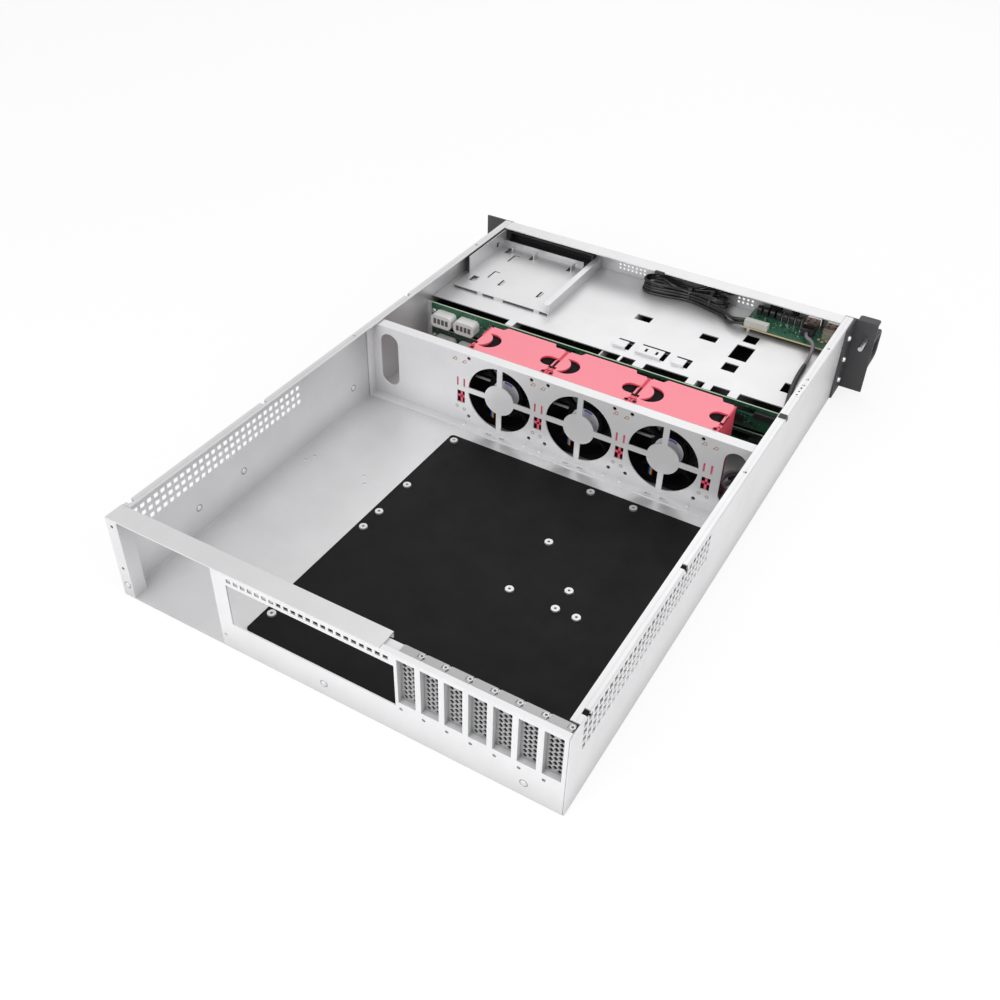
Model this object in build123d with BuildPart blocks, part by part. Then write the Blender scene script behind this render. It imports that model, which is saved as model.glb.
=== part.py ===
from build123d import *
import os
from math import cos, radians, sin

# Rack server case, two units high, seen with its lid off.
# X runs across the case, +Y points to the rear panel, +Z is up. Millimetres.
os.makedirs("parts", exist_ok=True)

# Body
body_width = 430.0
body_depth = 650.0
body_height = 88.0
sheet = 1.2
bend_radius = 0.25
rim_width = 9.0
fit_gap = 0.3

# Rack ears, handles and the captive screws
rack_width = 482.6
ear_thickness = 2.0
ear_stand_off = 2.0
ear_plate_length = 29.0
ear_tab_width = 10.0
ear_margin = 1.5
ear_hood_width = 22.0
ear_hood_depth = 10.0
ear_hood_corner = 3.0
handle_reach = 36.0
handle_bar = 5.0
handle_bend = 7.0
handle_edge = 0.3
handle_low = 33.0
handle_high = 63.5
rack_screw_radius = 2.4
rack_screw_neck = 1.9
rack_screw_gap = 0.75
rack_screw_head = 3.2
rack_screw_head_length = 11.0
rack_screw_length = 26.0
rack_screw_edge = 8.74
rack_screw_z = 66.7

# Where the body starts and ends, with the whole part centred along Y
front = (ear_stand_off + ear_thickness + handle_reach - body_depth) / 2
rear = front + body_depth
half_width = body_width / 2
inner_half = half_width - sheet
rack_screw_x = rack_width / 2 - rack_screw_edge
rim_top = body_height
rim_under = body_height - sheet

# Side wall vents, lid notches and holes
vent_columns = 29
vent_rows = 4
vent_pitch = 8.0
vent_hole = 5.2
vent_first_y = 404.0
vent_first_z = 57.5
notch_places = (215.0, 454.0, 624.0)
notch_length = 6.0
notch_width = 5.0
rim_hole_radius = 1.6
rim_hole_places = (75.0, 314.0)
right_rim_holes = (142.0, 154.0)
floor_hole_radius = 1.8
floor_holes = ((197.0, 409.0), (201.0, 419.0), (136.0, 409.0), (128.0, 419.0))
corner_cut = 14.5
rear_fold_width = 12.0
rear_fold_return = 14.0
rear_fold_holes = (33.0, 80.0)

# Rear panel: power supply bay, input and output opening, seven card slots
strut_outer = 103.0
io_left = 88.75
io_width = 158.75
io_height = 44.45
io_low = 31.0
slot_count = 7
slot_pitch = 20.32
slot_first = -80.5
slot_width = 15.4
slot_height = 47.0
slot_low = 36.0
collar_depth = 3.6
collar_wall = 0.8
top_strip_depth = 5.0
panel_flange = 10.0
row_vent_count = 22
row_vent_pitch = 7.05
row_vent_centre = 11.0
row_vent_width = 4.6
row_vent_height = 3.8
row_vent_z = 81.0
slot_hole_radius = 1.6
slot_hole_offset = 5.7
slot_hole_z = 30.0
band_hole_radius = 1.5
band_holes = (99.0, -1.0)
band_hole_z = 14.0

# Rear top beam and the lower ledge that carries the cover tabs
beam_end = -58.0
beam_depth = 19.0
beam_lip = 6.0
ledge_drop = 2.0
ledge_depth = 7.6
ledge_lip = 7.0

# Slot covers and their screws
cover_sheet = 0.8
cover_width = 18.4
cover_low = 26.0
cover_tab = 8.0
cover_hole = 3.2
cover_hole_pitch_x = 4.0
cover_hole_pitch_z = 5.0
cover_hole_rows = 8
cover_holes_low = 40.5
notch_depth = 4.4
screw_shank = 1.4
screw_head = 2.4
screw_head_height = 1.1

# Board area
sheet_left = 99.0
sheet_right = -205.0
sheet_front_y = 305.0
sheet_rear_y = 629.0
insulator = 0.5
insulator_corner = 4.0
standoff_radius = 3.9
standoff_height = 2.1
standoff_thread = 1.25
board_rear_y = 637.0
board_column = 91.0
column_steps = {"a": 0.0, "b": 157.48, "c": 203.2, "d": 223.52, "e": 281.94}
row_steps = {"0": 33.02, "1": 10.16, "2": 165.1, "3": 190.5, "4": 237.49, "5": 323.0}
standoff_grid = ("a0", "b1", "e1", "a2", "b2", "c2", "d2", "a3", "c3", "a4", "b4", "a5", "b5", "c5")

# Fan wall
wall_from_front = 280.0
wall_height = 86.0
wall_flange = 12.0
fan_size = 80.0
fan_pitch = 90.4
fan_first = 58.4
fan_count = 3
fan_opening = 36.5
fan_disc = 17.0
fan_spoke = 6.0
fan_opening_top = 81.5
slit_width = 2.0
slit_height = 10.0
slit_spacing = 7.8
slit_z = 51.0
key_width = 9.0
key_height = 14.5
key_z = 33.0
fan_hole_radius = 2.0
fan_hole_step = 36.0
fan_hole_z = (11.3, 82.0)
pass_width = 22.0
pass_height = 62.0
pass_z = 47.0
pass_from_side = 21.8
foot_slot_length = 6.0
foot_slot_width = 2.6
foot_slot_step = 8.0

# Fan carriers, fans and rotors
carrier_gap = 0.6
carrier_wall = 2.0
carrier_front_y = 214.0
carrier_step = 5.5
carrier_step_width = 17.0
carrier_chamfer = 3.0
carrier_top = 86.0
carrier_plate = 2.0
plate_bore = 38.5
key_cut_width = 2.8
key_cut_height = 5.6
key_cut_pitch = 8.6
carrier_bottom = sheet + 0.6
carrier_body_y = 222.0
grip_from_front = 245.0
grip_radius = 13.5
grip_offset = 34.0
grip_pad_shift = 10.5
pull_radius = 8.2
pull_depth = 15.5
fan_depth = 38.0
fan_corner = 4.0
fan_bore = 37.6
tip_gap = 1.2
hub_radius = 19.5
hub_base = 4.0
strut_width = 4.0
rotor_gap = 1.0
rotor_front_inset = 3.0
blade_count = 7
blade_thickness = 1.5
blade_chord = 27.0
blade_pitch_angle = 42.0
blade_camber = 3.0
shaft_radius = 1.5
shaft_gap = 0.05
shaft_seat = 3.0

# Backplanes and the sockets on them
board_thickness = 1.6
backplane_y = front + 175.0
backplane_side_gap = 6.8
upper_low = 35.5
upper_high = 62.5
lower_low = 4.0
lower_high = 31.5
air_slot_width = 56.0
air_slot_height = 7.0
power_socket = (26.0, 13.0, 15.0)
power_socket_places = (187.0, 157.5)
power_socket_corner = 5.0
drive_socket = (42.0, 8.0, 6.0)

# Drive cage and trays
deck_top = 63.0
deck_bottom = deck_top - sheet
deck_rear_y = 163.8
deck_front_y = 1.5
rail_sheet = 1.0
ledge_width = 5.0
ledge_top = 31.5
ledge_sheet = 1.0
cage_front_y = 14.0
ledge_rear_y = 166.0
tray_side_gap = 0.4
tray_rest_gap = 0.3
tray_body_gap = 1.0
tray_sheet = 1.0
tray_length = 160.0
tray_side_height = 20.0
bezel_height = 28.4
bezel_depth = 14.0
bezel_out = 2.0
recess_width = 94.0
recess_height = 17.0
recess_depth = 5.0
tray_slot_count = 8
tray_slot_width = 5.0
tray_slot_height = 12.0
tray_slot_pitch = 9.0
lever_thickness = 3.2
lever_height = 16.4
lever_length = 86.0
lever_window_length = 58.0
lever_window_height = 9.0
pin_radius = 1.5
pin_gap = 0.05
pin_seat = 1.5
pin_inset = 4.0

# Deck cut-outs, each as left X, front Y, width, length
deck_windows = (
    (-18.6, 75.6, 18.4, 11.8),
    (-95.4, 75.0, 18.8, 12.2),
    (-133.6, 51.0, 14.6, 17.0),
    (-137.0, 76.0, 20.0, 30.0),
    (-134.0, 116.0, 15.0, 15.6),
    (-193.5, 119.6, 8.5, 18.0),
)
raised_tabs = (
    (-23.2, 137.0, 18.2, 13.7),
    (-63.4, 134.8, 31.6, 16.2),
    (-89.5, 137.3, 17.4, 13.2),
)
tab_rise = 3.0
tab_front_gap = 2.5
tab_side_gap = 4.0
tab_slots = (-41.0, -53.0)
tab_slot = (2.8, 6.5)
tab_slot_y = 144.5
deck_tongues = ((-22.3, 3.0), (-44.2, 12.0), (-102.5, 9.5), (-120.2, 9.0), (-148.0, 10.0), (109.0, 9.0))
board_posts = ((-116.0, 10.0), (-116.0, 42.0), (-200.0, 42.0), (-200.0, 24.0))
post_radius = 2.4

# Front panel strip above the trays
top_flange_depth = 18.0
bay_left = 203.0
bay_right = 90.0
bay_low = 66.5
bay_high = 81.5
front_vent_radius = 1.6
front_vent_pitch_x = 5.2
front_vent_pitch_z = 4.6
front_vent_groups = ((43.0, 74.0, 7, 3), (-96.0, 74.5, 4, 3))

# Front bay pan and blank
pan_left = 205.0
pan_right = 82.0
pan_rear_y = 134.0
pan_floor_top = deck_top + 3.0
pan_sheet = 1.0
pan_side_top = deck_top + 13.0
pan_flange = 7.0
pan_tabs = ((170.0, 7.0), (146.0, 12.0), (97.0, 7.0))
pan_windows = (
    (191.0, 29.5, 8.0, 14.0),
    (159.5, 29.0, 5.0, 15.0),
    (109.5, 29.0, 5.0, 15.0),
    (192.0, 110.0, 8.0, 13.0),
    (160.5, 102.5, 3.0, 14.0),
    (110.5, 102.5, 3.0, 14.0),
)
pan_lug_rise = 6.0
pan_hooks = ((180.0, 44.5), (180.0, 91.0))
pan_hook_length = 18.0
pan_hook_reach = 6.5
pan_hook_slit = 1.8
pan_wall_top = 85.5
pan_wall_first_y = 16.0
pan_wall_last_y = 100.0
pan_wall_slot = (36.6, 73.4)
pan_upstand = (99.0, 15.0, 5.0)
blank_wall = 2.0
blank_depth = 12.0
blank_out = 1.5

# Front board with its sockets, switches and buttons
io_board_left = -109.0
io_board_right = -206.0
io_board_rear_y = 47.0
io_board_front_y = 3.0
io_board_low = deck_top + 4.4
usb_width = 14.5
usb_height = 7.2
usb_length = 15.0
usb_wall = 0.6
usb_places = (-175.0, -197.0)
usb_gap = 0.3
switch_count = 7
switch_pitch = 7.4
switch_first = -117.0
switch_width = 5.0
switch_length = 9.0
switch_height = 9.5
switch_front_y = 7.4
header_size = (14.0, 10.0, 9.0)
header_place = (-176.0, 27.0)
plug_size = (26.0, 8.0, 7.0)
plug_place = (-124.0, 42.5)
power_radius = 5.5
reset_radius = 2.6
button_gap = 0.08
button_out = 2.0
button_flange = 1.5
button_length = 8.0
button_z = 76.6
power_x = -131.8
reset_x = -153.9

# Cables
hank_length = 104.0
hank_depth = 21.0
hank_height = 15.0
hank_corner = 7.0
hank_edge = 1.5
hank_centre = (-32.0, 17.0)
hank_waist = 4.0
tail_width = 9.0
tail_height = 8.0
lead_radius = 1.8
lead_share = 0.45
lead_route = (
    (-176.0, 32.0, 73.0),
    (-176.0, 44.0, 73.0),
    (-186.0, 59.0, 69.5),
    (-191.0, 80.0, 66.0),
    (-192.5, 108.0, 65.2),
    (-196.0, 138.0, 65.4),
    (-201.0, 164.0, 67.0),
    (-204.5, 186.0, 64.5),
    (-207.0, 202.0, 52.0),
    (-208.0, 211.0, 37.0),
    (-205.2, 220.0, 24.5),
    (-205.2, 220.0, 12.2),
)
coil_centre = (-190.5, 233.0)
coil_outer = 22.0
coil_inner = 18.0

wall_y = front + wall_from_front
fan_centres = [fan_first - fan_pitch * i for i in range(fan_count)]
slot_centres = [slot_first - slot_pitch * i for i in range(slot_count)]
seams = [fan_first + fan_pitch * (0.5 - i) for i in range(fan_count + 1)]
column_clear = (2 * inner_half - 2 * rail_sheet - 3 * sheet) / 4
divider_step = column_clear + sheet
divider_places = (-divider_step, 0.0, divider_step)
column_centres = [divider_step * (i - 1.5) for i in range(4)]
lower_tray_z = sheet + tray_rest_gap
upper_tray_z = ledge_top + tray_rest_gap
beam_front = rear - beam_depth
collar_end = rear - sheet - collar_depth


def upright(y):
    """Plane across the case at a given Y, with local Y pointing up."""
    return Plane.XZ.offset(-y)


# Base pan: floor, side walls and rims folded from one sheet
with BuildPart() as base_pan:
    with BuildSketch(upright(front)):
        with BuildLine():
            FilletPolyline(
                (half_width - rim_width, rim_top - sheet / 2),
                (half_width - sheet / 2, rim_top - sheet / 2),
                (half_width - sheet / 2, sheet / 2),
                (sheet / 2 - half_width, sheet / 2),
                (sheet / 2 - half_width, rim_top - sheet / 2),
                (rim_width - half_width, rim_top - sheet / 2),
                radius=bend_radius + sheet / 2,
            )
        trace(line_width=sheet)
    extrude(amount=-body_depth)
    # The left rim gives way to the rear beam
    with Locations((half_width - rim_width, beam_front - fit_gap, rim_under)):
        Box(
            rim_width + sheet,
            beam_depth + 2 * fit_gap,
            2 * sheet,
            align=(Align.MIN, Align.MIN, Align.MIN),
            mode=Mode.SUBTRACT,
        )
    # The right rim gives way to the last cover tab and the panel strip
    with Locations((-half_width - sheet, rear - corner_cut, rim_under)):
        Box(
            rim_width + 2 * sheet,
            corner_cut + sheet,
            2 * sheet,
            align=(Align.MIN, Align.MIN, Align.MIN),
            mode=Mode.SUBTRACT,
        )
    # Folded rear edge of the left wall
    with BuildSketch(Plane.XY.offset(sheet)):
        with Locations((half_width - rear_fold_width, rear - sheet)):
            Rectangle(rear_fold_width, sheet, align=(Align.MIN, Align.MIN))
        with Locations((half_width - rear_fold_width, rear - rear_fold_return)):
            Rectangle(sheet, rear_fold_return, align=(Align.MIN, Align.MIN))
    extrude(amount=rim_under - sheet)
    with BuildSketch(upright(rear)):
        with Locations(*[(half_width - rear_fold_width / 2, z) for z in rear_fold_holes]):
            Circle(band_hole_radius)
    extrude(amount=2 * sheet, mode=Mode.SUBTRACT)
    # Vents through both side walls
    with BuildSketch(Plane.YZ.offset(-half_width - sheet)):
        vent_middle_y = front + vent_first_y + vent_pitch * (vent_columns - 1) / 2
        vent_middle_z = vent_first_z + vent_pitch * (vent_rows - 1) / 2
        with Locations((vent_middle_y, vent_middle_z)):
            with GridLocations(vent_pitch, vent_pitch, vent_columns, vent_rows):
                Rectangle(vent_hole, vent_hole)
    extrude(amount=body_width + 2 * sheet, mode=Mode.SUBTRACT)
    # Lid notches on the outer edges of both rims
    with BuildSketch(Plane.XY.offset(rim_under - notch_length / 2)):
        for side in (-1, 1):
            with Locations(*[(side * half_width, front + y) for y in notch_places]):
                Rectangle(2 * notch_width, notch_length)
    extrude(amount=notch_length, mode=Mode.SUBTRACT)
    with BuildSketch(Plane.XY.offset(rim_under - sheet)):
        for side in (-1, 1):
            with Locations(*[(side * (half_width - rim_width / 2), front + y) for y in rim_hole_places]):
                Circle(rim_hole_radius)
        with Locations(*[(rim_width / 2 - half_width, front + y) for y in right_rim_holes]):
            Circle(rim_hole_radius)
    extrude(amount=3 * sheet, mode=Mode.SUBTRACT)
    with BuildSketch(Plane.XY):
        with Locations(*[(x, front + y) for x, y in floor_holes]):
            Circle(floor_hole_radius)
    extrude(amount=sheet, mode=Mode.SUBTRACT)
base_pan.part.label = "base_pan"
export_step(base_pan.part, "parts/base_pan.step")

# Rear panel: one sheet with folded foot, side and top strip
panel_end = -inner_half + fit_gap
with BuildPart() as rear_panel:
    with BuildSketch(upright(rear)):
        with Locations((panel_end, sheet)):
            Rectangle(strut_outer - panel_end, rim_under - sheet, align=(Align.MIN, Align.MIN))
            Rectangle(beam_end - fit_gap - panel_end, rim_top - sheet, align=(Align.MIN, Align.MIN))
        with Locations((io_left, io_low)):
            Rectangle(io_width, io_height, align=(Align.MAX, Align.MIN), mode=Mode.SUBTRACT)
        with Locations((row_vent_centre, row_vent_z)):
            with GridLocations(row_vent_pitch, row_vent_pitch, row_vent_count, 1):
                Rectangle(row_vent_width, row_vent_height, mode=Mode.SUBTRACT)
        with Locations(*[(x + slot_hole_offset, slot_hole_z) for x in slot_centres]):
            Circle(slot_hole_radius, mode=Mode.SUBTRACT)
        with Locations(*[(x, band_hole_z) for x in band_holes]):
            Circle(band_hole_radius, mode=Mode.SUBTRACT)
    extrude(amount=sheet)
    # Foot on the floor, flange along the right wall, strip above the slots
    with Locations((panel_end, rear, sheet)):
        Box(strut_outer - panel_end, panel_flange, sheet, align=(Align.MIN, Align.MAX, Align.MIN))
        Box(sheet, panel_flange, rim_under - 2 * sheet, align=(Align.MIN, Align.MAX, Align.MIN))
    with Locations((panel_end, rear, rim_top)):
        Box(
            beam_end - fit_gap - panel_end,
            top_strip_depth,
            sheet,
            align=(Align.MIN, Align.MAX, Align.MAX),
        )
    # Drawn collar round each slot
    with BuildSketch(upright(rear - sheet)):
        with Locations(*[(x, slot_low) for x in slot_centres]):
            Rectangle(
                slot_width + 2 * collar_wall,
                slot_height + 2 * collar_wall,
                align=(Align.CENTER, Align.MIN),
            )
    extrude(amount=collar_depth)
    with BuildSketch(upright(rear)):
        with Locations(*[(x, slot_low + collar_wall) for x in slot_centres]):
            Rectangle(slot_width, slot_height, align=(Align.CENTER, Align.MIN))
    extrude(amount=sheet + collar_depth, mode=Mode.SUBTRACT)
rear_panel.part.label = "rear_panel"
export_step(rear_panel.part, "parts/rear_panel.step")

# Rear top beam: wide strip over the bays that steps down to the tab ledge
ledge_top_z = rim_top - ledge_drop
ledge_front = collar_end - cover_sheet - fit_gap - ledge_depth
with BuildPart() as rear_top_beam:
    with BuildSketch(Plane.YZ.offset(beam_end)):
        with Locations((beam_front, rim_top)):
            Rectangle(beam_depth, sheet, align=(Align.MIN, Align.MAX))
            Rectangle(sheet, beam_lip, align=(Align.MIN, Align.MAX))
    extrude(amount=half_width - beam_end)
    with BuildSketch(Plane.YZ.offset(beam_end)):
        with Locations((ledge_front, ledge_top_z)):
            Rectangle(ledge_depth, sheet, align=(Align.MIN, Align.MAX))
            Rectangle(sheet, ledge_lip, align=(Align.MIN, Align.MAX))
    extrude(amount=panel_end + sheet + fit_gap - beam_end)
    # Riser between the strip and the ledge
    with Locations((beam_end, ledge_front, rim_top)):
        Box(sheet, ledge_depth, ledge_drop + sheet, align=(Align.MIN, Align.MIN, Align.MAX))
    # The lip stops short of the left wall and its folded edge
    with Locations((inner_half - fit_gap, beam_front, rim_under)):
        Box(
            2 * sheet,
            beam_depth,
            beam_lip,
            align=(Align.MIN, Align.MIN, Align.MAX),
            mode=Mode.SUBTRACT,
        )
rear_top_beam.part.label = "rear_top_beam"
export_step(rear_top_beam.part, "parts/rear_top_beam.step")

# Perforated covers behind the seven slots, with tabs on the ledge
tab_top = ledge_top_z + cover_sheet
screw_offset = cover_width / 2 - 1.0
with BuildPart() as slot_covers:
    with BuildSketch(upright(collar_end)):
        with Locations(*[(x, cover_low) for x in slot_centres]):
            Rectangle(cover_width, tab_top - cover_low, align=(Align.CENTER, Align.MIN))
        for x in slot_centres:
            for column in (-1, 0, 1):
                shift = cover_hole_pitch_z / 2 if column == 0 else 0.0
                rows = cover_hole_rows - (1 if column == 0 else 0)
                middle = cover_holes_low + shift + cover_hole_pitch_z * (rows - 1) / 2
                with Locations((x + column * cover_hole_pitch_x, middle)):
                    with GridLocations(cover_hole_pitch_x, cover_hole_pitch_z, 1, rows):
                        Rectangle(cover_hole, cover_hole, rotation=45, mode=Mode.SUBTRACT)
    extrude(amount=cover_sheet)
    with BuildSketch(Plane.XY.offset(ledge_top_z)):
        for x in slot_centres:
            with Locations((x, collar_end - cover_sheet)):
                Rectangle(cover_width, cover_tab, align=(Align.CENTER, Align.MAX))
            with Locations((x - cover_width / 2, ledge_front + ledge_depth / 2)):
                Rectangle(2 * notch_depth, 2 * (screw_shank + fit_gap), mode=Mode.SUBTRACT)
    extrude(amount=cover_sheet)
slot_covers.part.label = "slot_covers"
export_step(slot_covers.part, "parts/slot_covers.step")

with BuildPart() as slot_screws:
    screw_places = [(x - screw_offset, ledge_front + ledge_depth / 2) for x in slot_centres]
    with BuildSketch(Plane.XY.offset(tab_top)):
        with Locations(*screw_places):
            RegularPolygon(radius=screw_head, side_count=6)
    extrude(amount=screw_head_height)
    with BuildSketch(Plane.XY.offset(ledge_top_z)):
        with Locations(*screw_places):
            Circle(screw_shank)
    extrude(amount=cover_sheet)
slot_screws.part.label = "slot_screws"
export_step(slot_screws.part, "parts/slot_screws.step")

# Black insulating sheet on the floor, pierced by the low board standoffs
standoff_places = [
    (board_column - column_steps[place[0]], front + board_rear_y - row_steps[place[1]])
    for place in standoff_grid
]
with BuildPart() as board_insulator:
    with BuildSketch(Plane.XY.offset(sheet)):
        with Locations((sheet_right, front + sheet_front_y)):
            Rectangle(
                sheet_left - sheet_right,
                sheet_rear_y - sheet_front_y,
                align=(Align.MIN, Align.MIN),
            )
        fillet(vertices(), insulator_corner)
        with Locations(*standoff_places):
            Circle(standoff_radius + fit_gap, mode=Mode.SUBTRACT)
    extrude(amount=insulator)
board_insulator.part.label = "board_insulator"
export_step(board_insulator.part, "parts/board_insulator.step")

with BuildPart() as board_standoffs:
    with BuildSketch(Plane.XY.offset(sheet)):
        with Locations(*standoff_places):
            Circle(standoff_radius)
            Circle(standoff_thread, mode=Mode.SUBTRACT)
    extrude(amount=standoff_height)
board_standoffs.part.label = "board_standoffs"
export_step(board_standoffs.part, "parts/board_standoffs.step")

# Fan wall: a folded sheet with three fan openings and two cable passes
wall_half = inner_half - fit_gap
with BuildPart() as fan_wall:
    with BuildSketch(Plane.YZ.offset(-wall_half)):
        with Locations((wall_y, sheet)):
            Rectangle(sheet, wall_height - sheet, align=(Align.MAX, Align.MIN))
        with Locations((wall_y, wall_height)):
            Rectangle(wall_flange, sheet, align=(Align.MAX, Align.MAX))
        with Locations((wall_y - sheet, sheet)):
            Rectangle(wall_flange, sheet, align=(Align.MIN, Align.MIN))
    extrude(amount=2 * wall_half)
    for side in (-1, 1):
        edge = Align.MAX if side > 0 else Align.MIN
        with Locations((side * wall_half, wall_y - sheet, 2 * sheet)):
            Box(sheet, wall_flange, wall_height - 4 * sheet, align=(edge, Align.MIN, Align.MIN))
    with BuildSketch(upright(wall_y)):
        for x in fan_centres:
            with Locations((x, carrier_bottom + carrier_wall + fan_size / 2)):
                Circle(fan_opening)
        with Locations((0, fan_opening_top)):
            Rectangle(2 * inner_half, wall_height, align=(Align.CENTER, Align.MIN), mode=Mode.SUBTRACT)
        for x in fan_centres:
            with Locations((x, carrier_bottom + carrier_wall + fan_size / 2)):
                Circle(fan_disc, mode=Mode.SUBTRACT)
                Rectangle(fan_spoke, 2 * fan_opening, mode=Mode.SUBTRACT)
                Rectangle(2 * fan_opening, fan_spoke, mode=Mode.SUBTRACT)
        for x in seams:
            with Locations((x, slit_z)):
                with GridLocations(slit_spacing, 1, 2, 1):
                    Rectangle(slit_width, slit_height)
            with Locations((x, key_z)):
                Rectangle(key_width, key_height)
        for z in fan_hole_z:
            with Locations(*[(x, z) for x in fan_centres]):
                with GridLocations(2 * fan_hole_step, 1, 2, 1):
                    Circle(fan_hole_radius)
        with Locations((pass_from_side - inner_half, pass_z), (inner_half - pass_from_side, pass_z)):
            SlotOverall(pass_height, pass_width, rotation=90)
    extrude(amount=sheet, mode=Mode.SUBTRACT)
    with BuildSketch(Plane.XY.offset(sheet)):
        with Locations(*[(x, wall_y + wall_flange / 2) for x in fan_centres]):
            with GridLocations(2 * foot_slot_step, 1, 2, 1):
                Rectangle(foot_slot_length, foot_slot_width)
    extrude(amount=sheet, mode=Mode.SUBTRACT)
fan_wall.part.label = "fan_wall"
export_step(fan_wall.part, "parts/fan_wall.step")

# Lift-out fan carriers, each with its fan frame and rotor
carrier_half = (fan_pitch - carrier_gap) / 2
carrier_rear = wall_y - wall_flange - fit_gap
fan_rear = carrier_rear - carrier_plate - fit_gap
fan_front = fan_rear - fan_depth
fan_z = carrier_bottom + carrier_wall + fan_size / 2
grip_y = front + grip_from_front
carrier_inside = carrier_half - carrier_wall
for number, centre in enumerate(fan_centres, start=1):
    with BuildPart() as fan_carrier:
        with BuildSketch(Plane.XY.offset(carrier_top - carrier_wall)):
            inner_step = carrier_half - carrier_step_width
            step_y = front + carrier_front_y + carrier_step
            with BuildLine():
                Polyline(
                    (centre - carrier_half, step_y),
                    (centre - inner_step - carrier_chamfer, step_y),
                    (centre - inner_step, front + carrier_front_y),
                    (centre + inner_step, front + carrier_front_y),
                    (centre + inner_step + carrier_chamfer, step_y),
                    (centre + carrier_half, step_y),
                    (centre + carrier_half, carrier_rear),
                    (centre - carrier_half, carrier_rear),
                    close=True,
                )
            make_face()
        extrude(amount=carrier_wall)
        # Side walls, floor and the ribs that hold the fan
        with BuildSketch(upright(front + carrier_body_y)):
            with Locations((centre, carrier_bottom)):
                Rectangle(
                    2 * carrier_half,
                    carrier_top - carrier_bottom,
                    align=(Align.CENTER, Align.MIN),
                )
            with Locations((centre, carrier_bottom + carrier_wall)):
                Rectangle(
                    2 * carrier_inside,
                    carrier_top - carrier_bottom - 2 * carrier_wall,
                    align=(Align.CENTER, Align.MIN),
                    mode=Mode.SUBTRACT,
                )
        extrude(amount=-(carrier_rear - front - carrier_body_y))
        rib = carrier_inside - fan_size / 2 - fit_gap
        for side in (-1, 1):
            edge = Align.MAX if side > 0 else Align.MIN
            rib_x = centre + side * carrier_inside
            with Locations((rib_x, fan_front + fan_depth / 2, carrier_bottom + carrier_wall)):
                Box(
                    rib,
                    carrier_step_width,
                    carrier_top - carrier_bottom - 2 * carrier_wall,
                    align=(edge, Align.CENTER, Align.MIN),
                )
        # Rear plate with the round fan hole, key cuts at its edges and screw holes
        with BuildSketch(upright(carrier_rear)):
            with Locations((centre, carrier_bottom + carrier_wall)):
                Rectangle(
                    2 * carrier_inside,
                    carrier_top - carrier_bottom - 2 * carrier_wall,
                    align=(Align.CENTER, Align.MIN),
                )
            with Locations((centre, fan_z)):
                Circle(plate_bore, mode=Mode.SUBTRACT)
            with Locations((centre, key_z)):
                with GridLocations(2 * carrier_inside - key_cut_width, key_cut_pitch, 2, 2):
                    Rectangle(key_cut_width, key_cut_height, mode=Mode.SUBTRACT)
            for z in fan_hole_z:
                with Locations((centre, z)):
                    with GridLocations(2 * fan_hole_step, 1, 2, 1):
                        Circle(fan_hole_radius + fit_gap, mode=Mode.SUBTRACT)
        extrude(amount=carrier_plate)
        # Crescent finger gap at one end, round-ended pull at the other
        with BuildSketch(Plane.XY.offset(carrier_top - carrier_wall)):
            with Locations((centre + grip_offset, grip_y)):
                Circle(grip_radius)
            with Locations((centre + grip_offset + grip_pad_shift, grip_y)):
                Circle(grip_radius, mode=Mode.SUBTRACT)
            with Locations((centre - carrier_inside, grip_y)):
                Rectangle(pull_depth - pull_radius, 2 * pull_radius, align=(Align.MIN, Align.CENTER))
            with Locations((centre - carrier_inside + pull_depth - pull_radius, grip_y)):
                Circle(pull_radius)
        extrude(amount=carrier_wall, mode=Mode.SUBTRACT)
    fan_carrier.part.label = f"fan_carrier_{number}"
    export_step(fan_carrier.part, f"parts/fan_carrier_{number}.step")

    with BuildPart() as fan_frame:
        with BuildSketch(upright(fan_front)):
            with Locations((centre, fan_z)):
                Rectangle(fan_size, fan_size)
                fillet(vertices(), fan_corner)
                Circle(fan_bore, mode=Mode.SUBTRACT)
        extrude(amount=-fan_depth)
        # Motor base on four struts at the exhaust side
        with BuildSketch(upright(fan_rear)):
            with Locations((centre, fan_z)):
                Circle(hub_radius)
                Rectangle(2 * fan_bore + 1, strut_width, rotation=45)
                Rectangle(2 * fan_bore + 1, strut_width, rotation=-45)
        extrude(amount=hub_base)
        with BuildSketch(upright(fan_rear - hub_base)):
            with Locations((centre, fan_z)):
                Circle(shaft_radius + shaft_gap)
        extrude(amount=-shaft_seat, mode=Mode.SUBTRACT)
    fan_frame.part.label = f"fan_frame_{number}"
    export_step(fan_frame.part, f"parts/fan_frame_{number}.step")

    rotor_rear = fan_rear - hub_base - rotor_gap
    rotor_length = rotor_rear - fan_front - rotor_front_inset
    rotor_middle = rotor_rear - rotor_length / 2
    blade_tip = fan_bore - tip_gap
    with BuildPart() as fan_rotor:
        with BuildSketch(upright(rotor_rear)):
            with Locations((centre, fan_z)):
                Circle(hub_radius)
        extrude(amount=rotor_length)
        with BuildSketch(upright(rotor_rear)):
            with Locations((centre, fan_z)):
                Circle(shaft_radius)
        extrude(amount=-(rotor_gap + shaft_seat - fit_gap))
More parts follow.
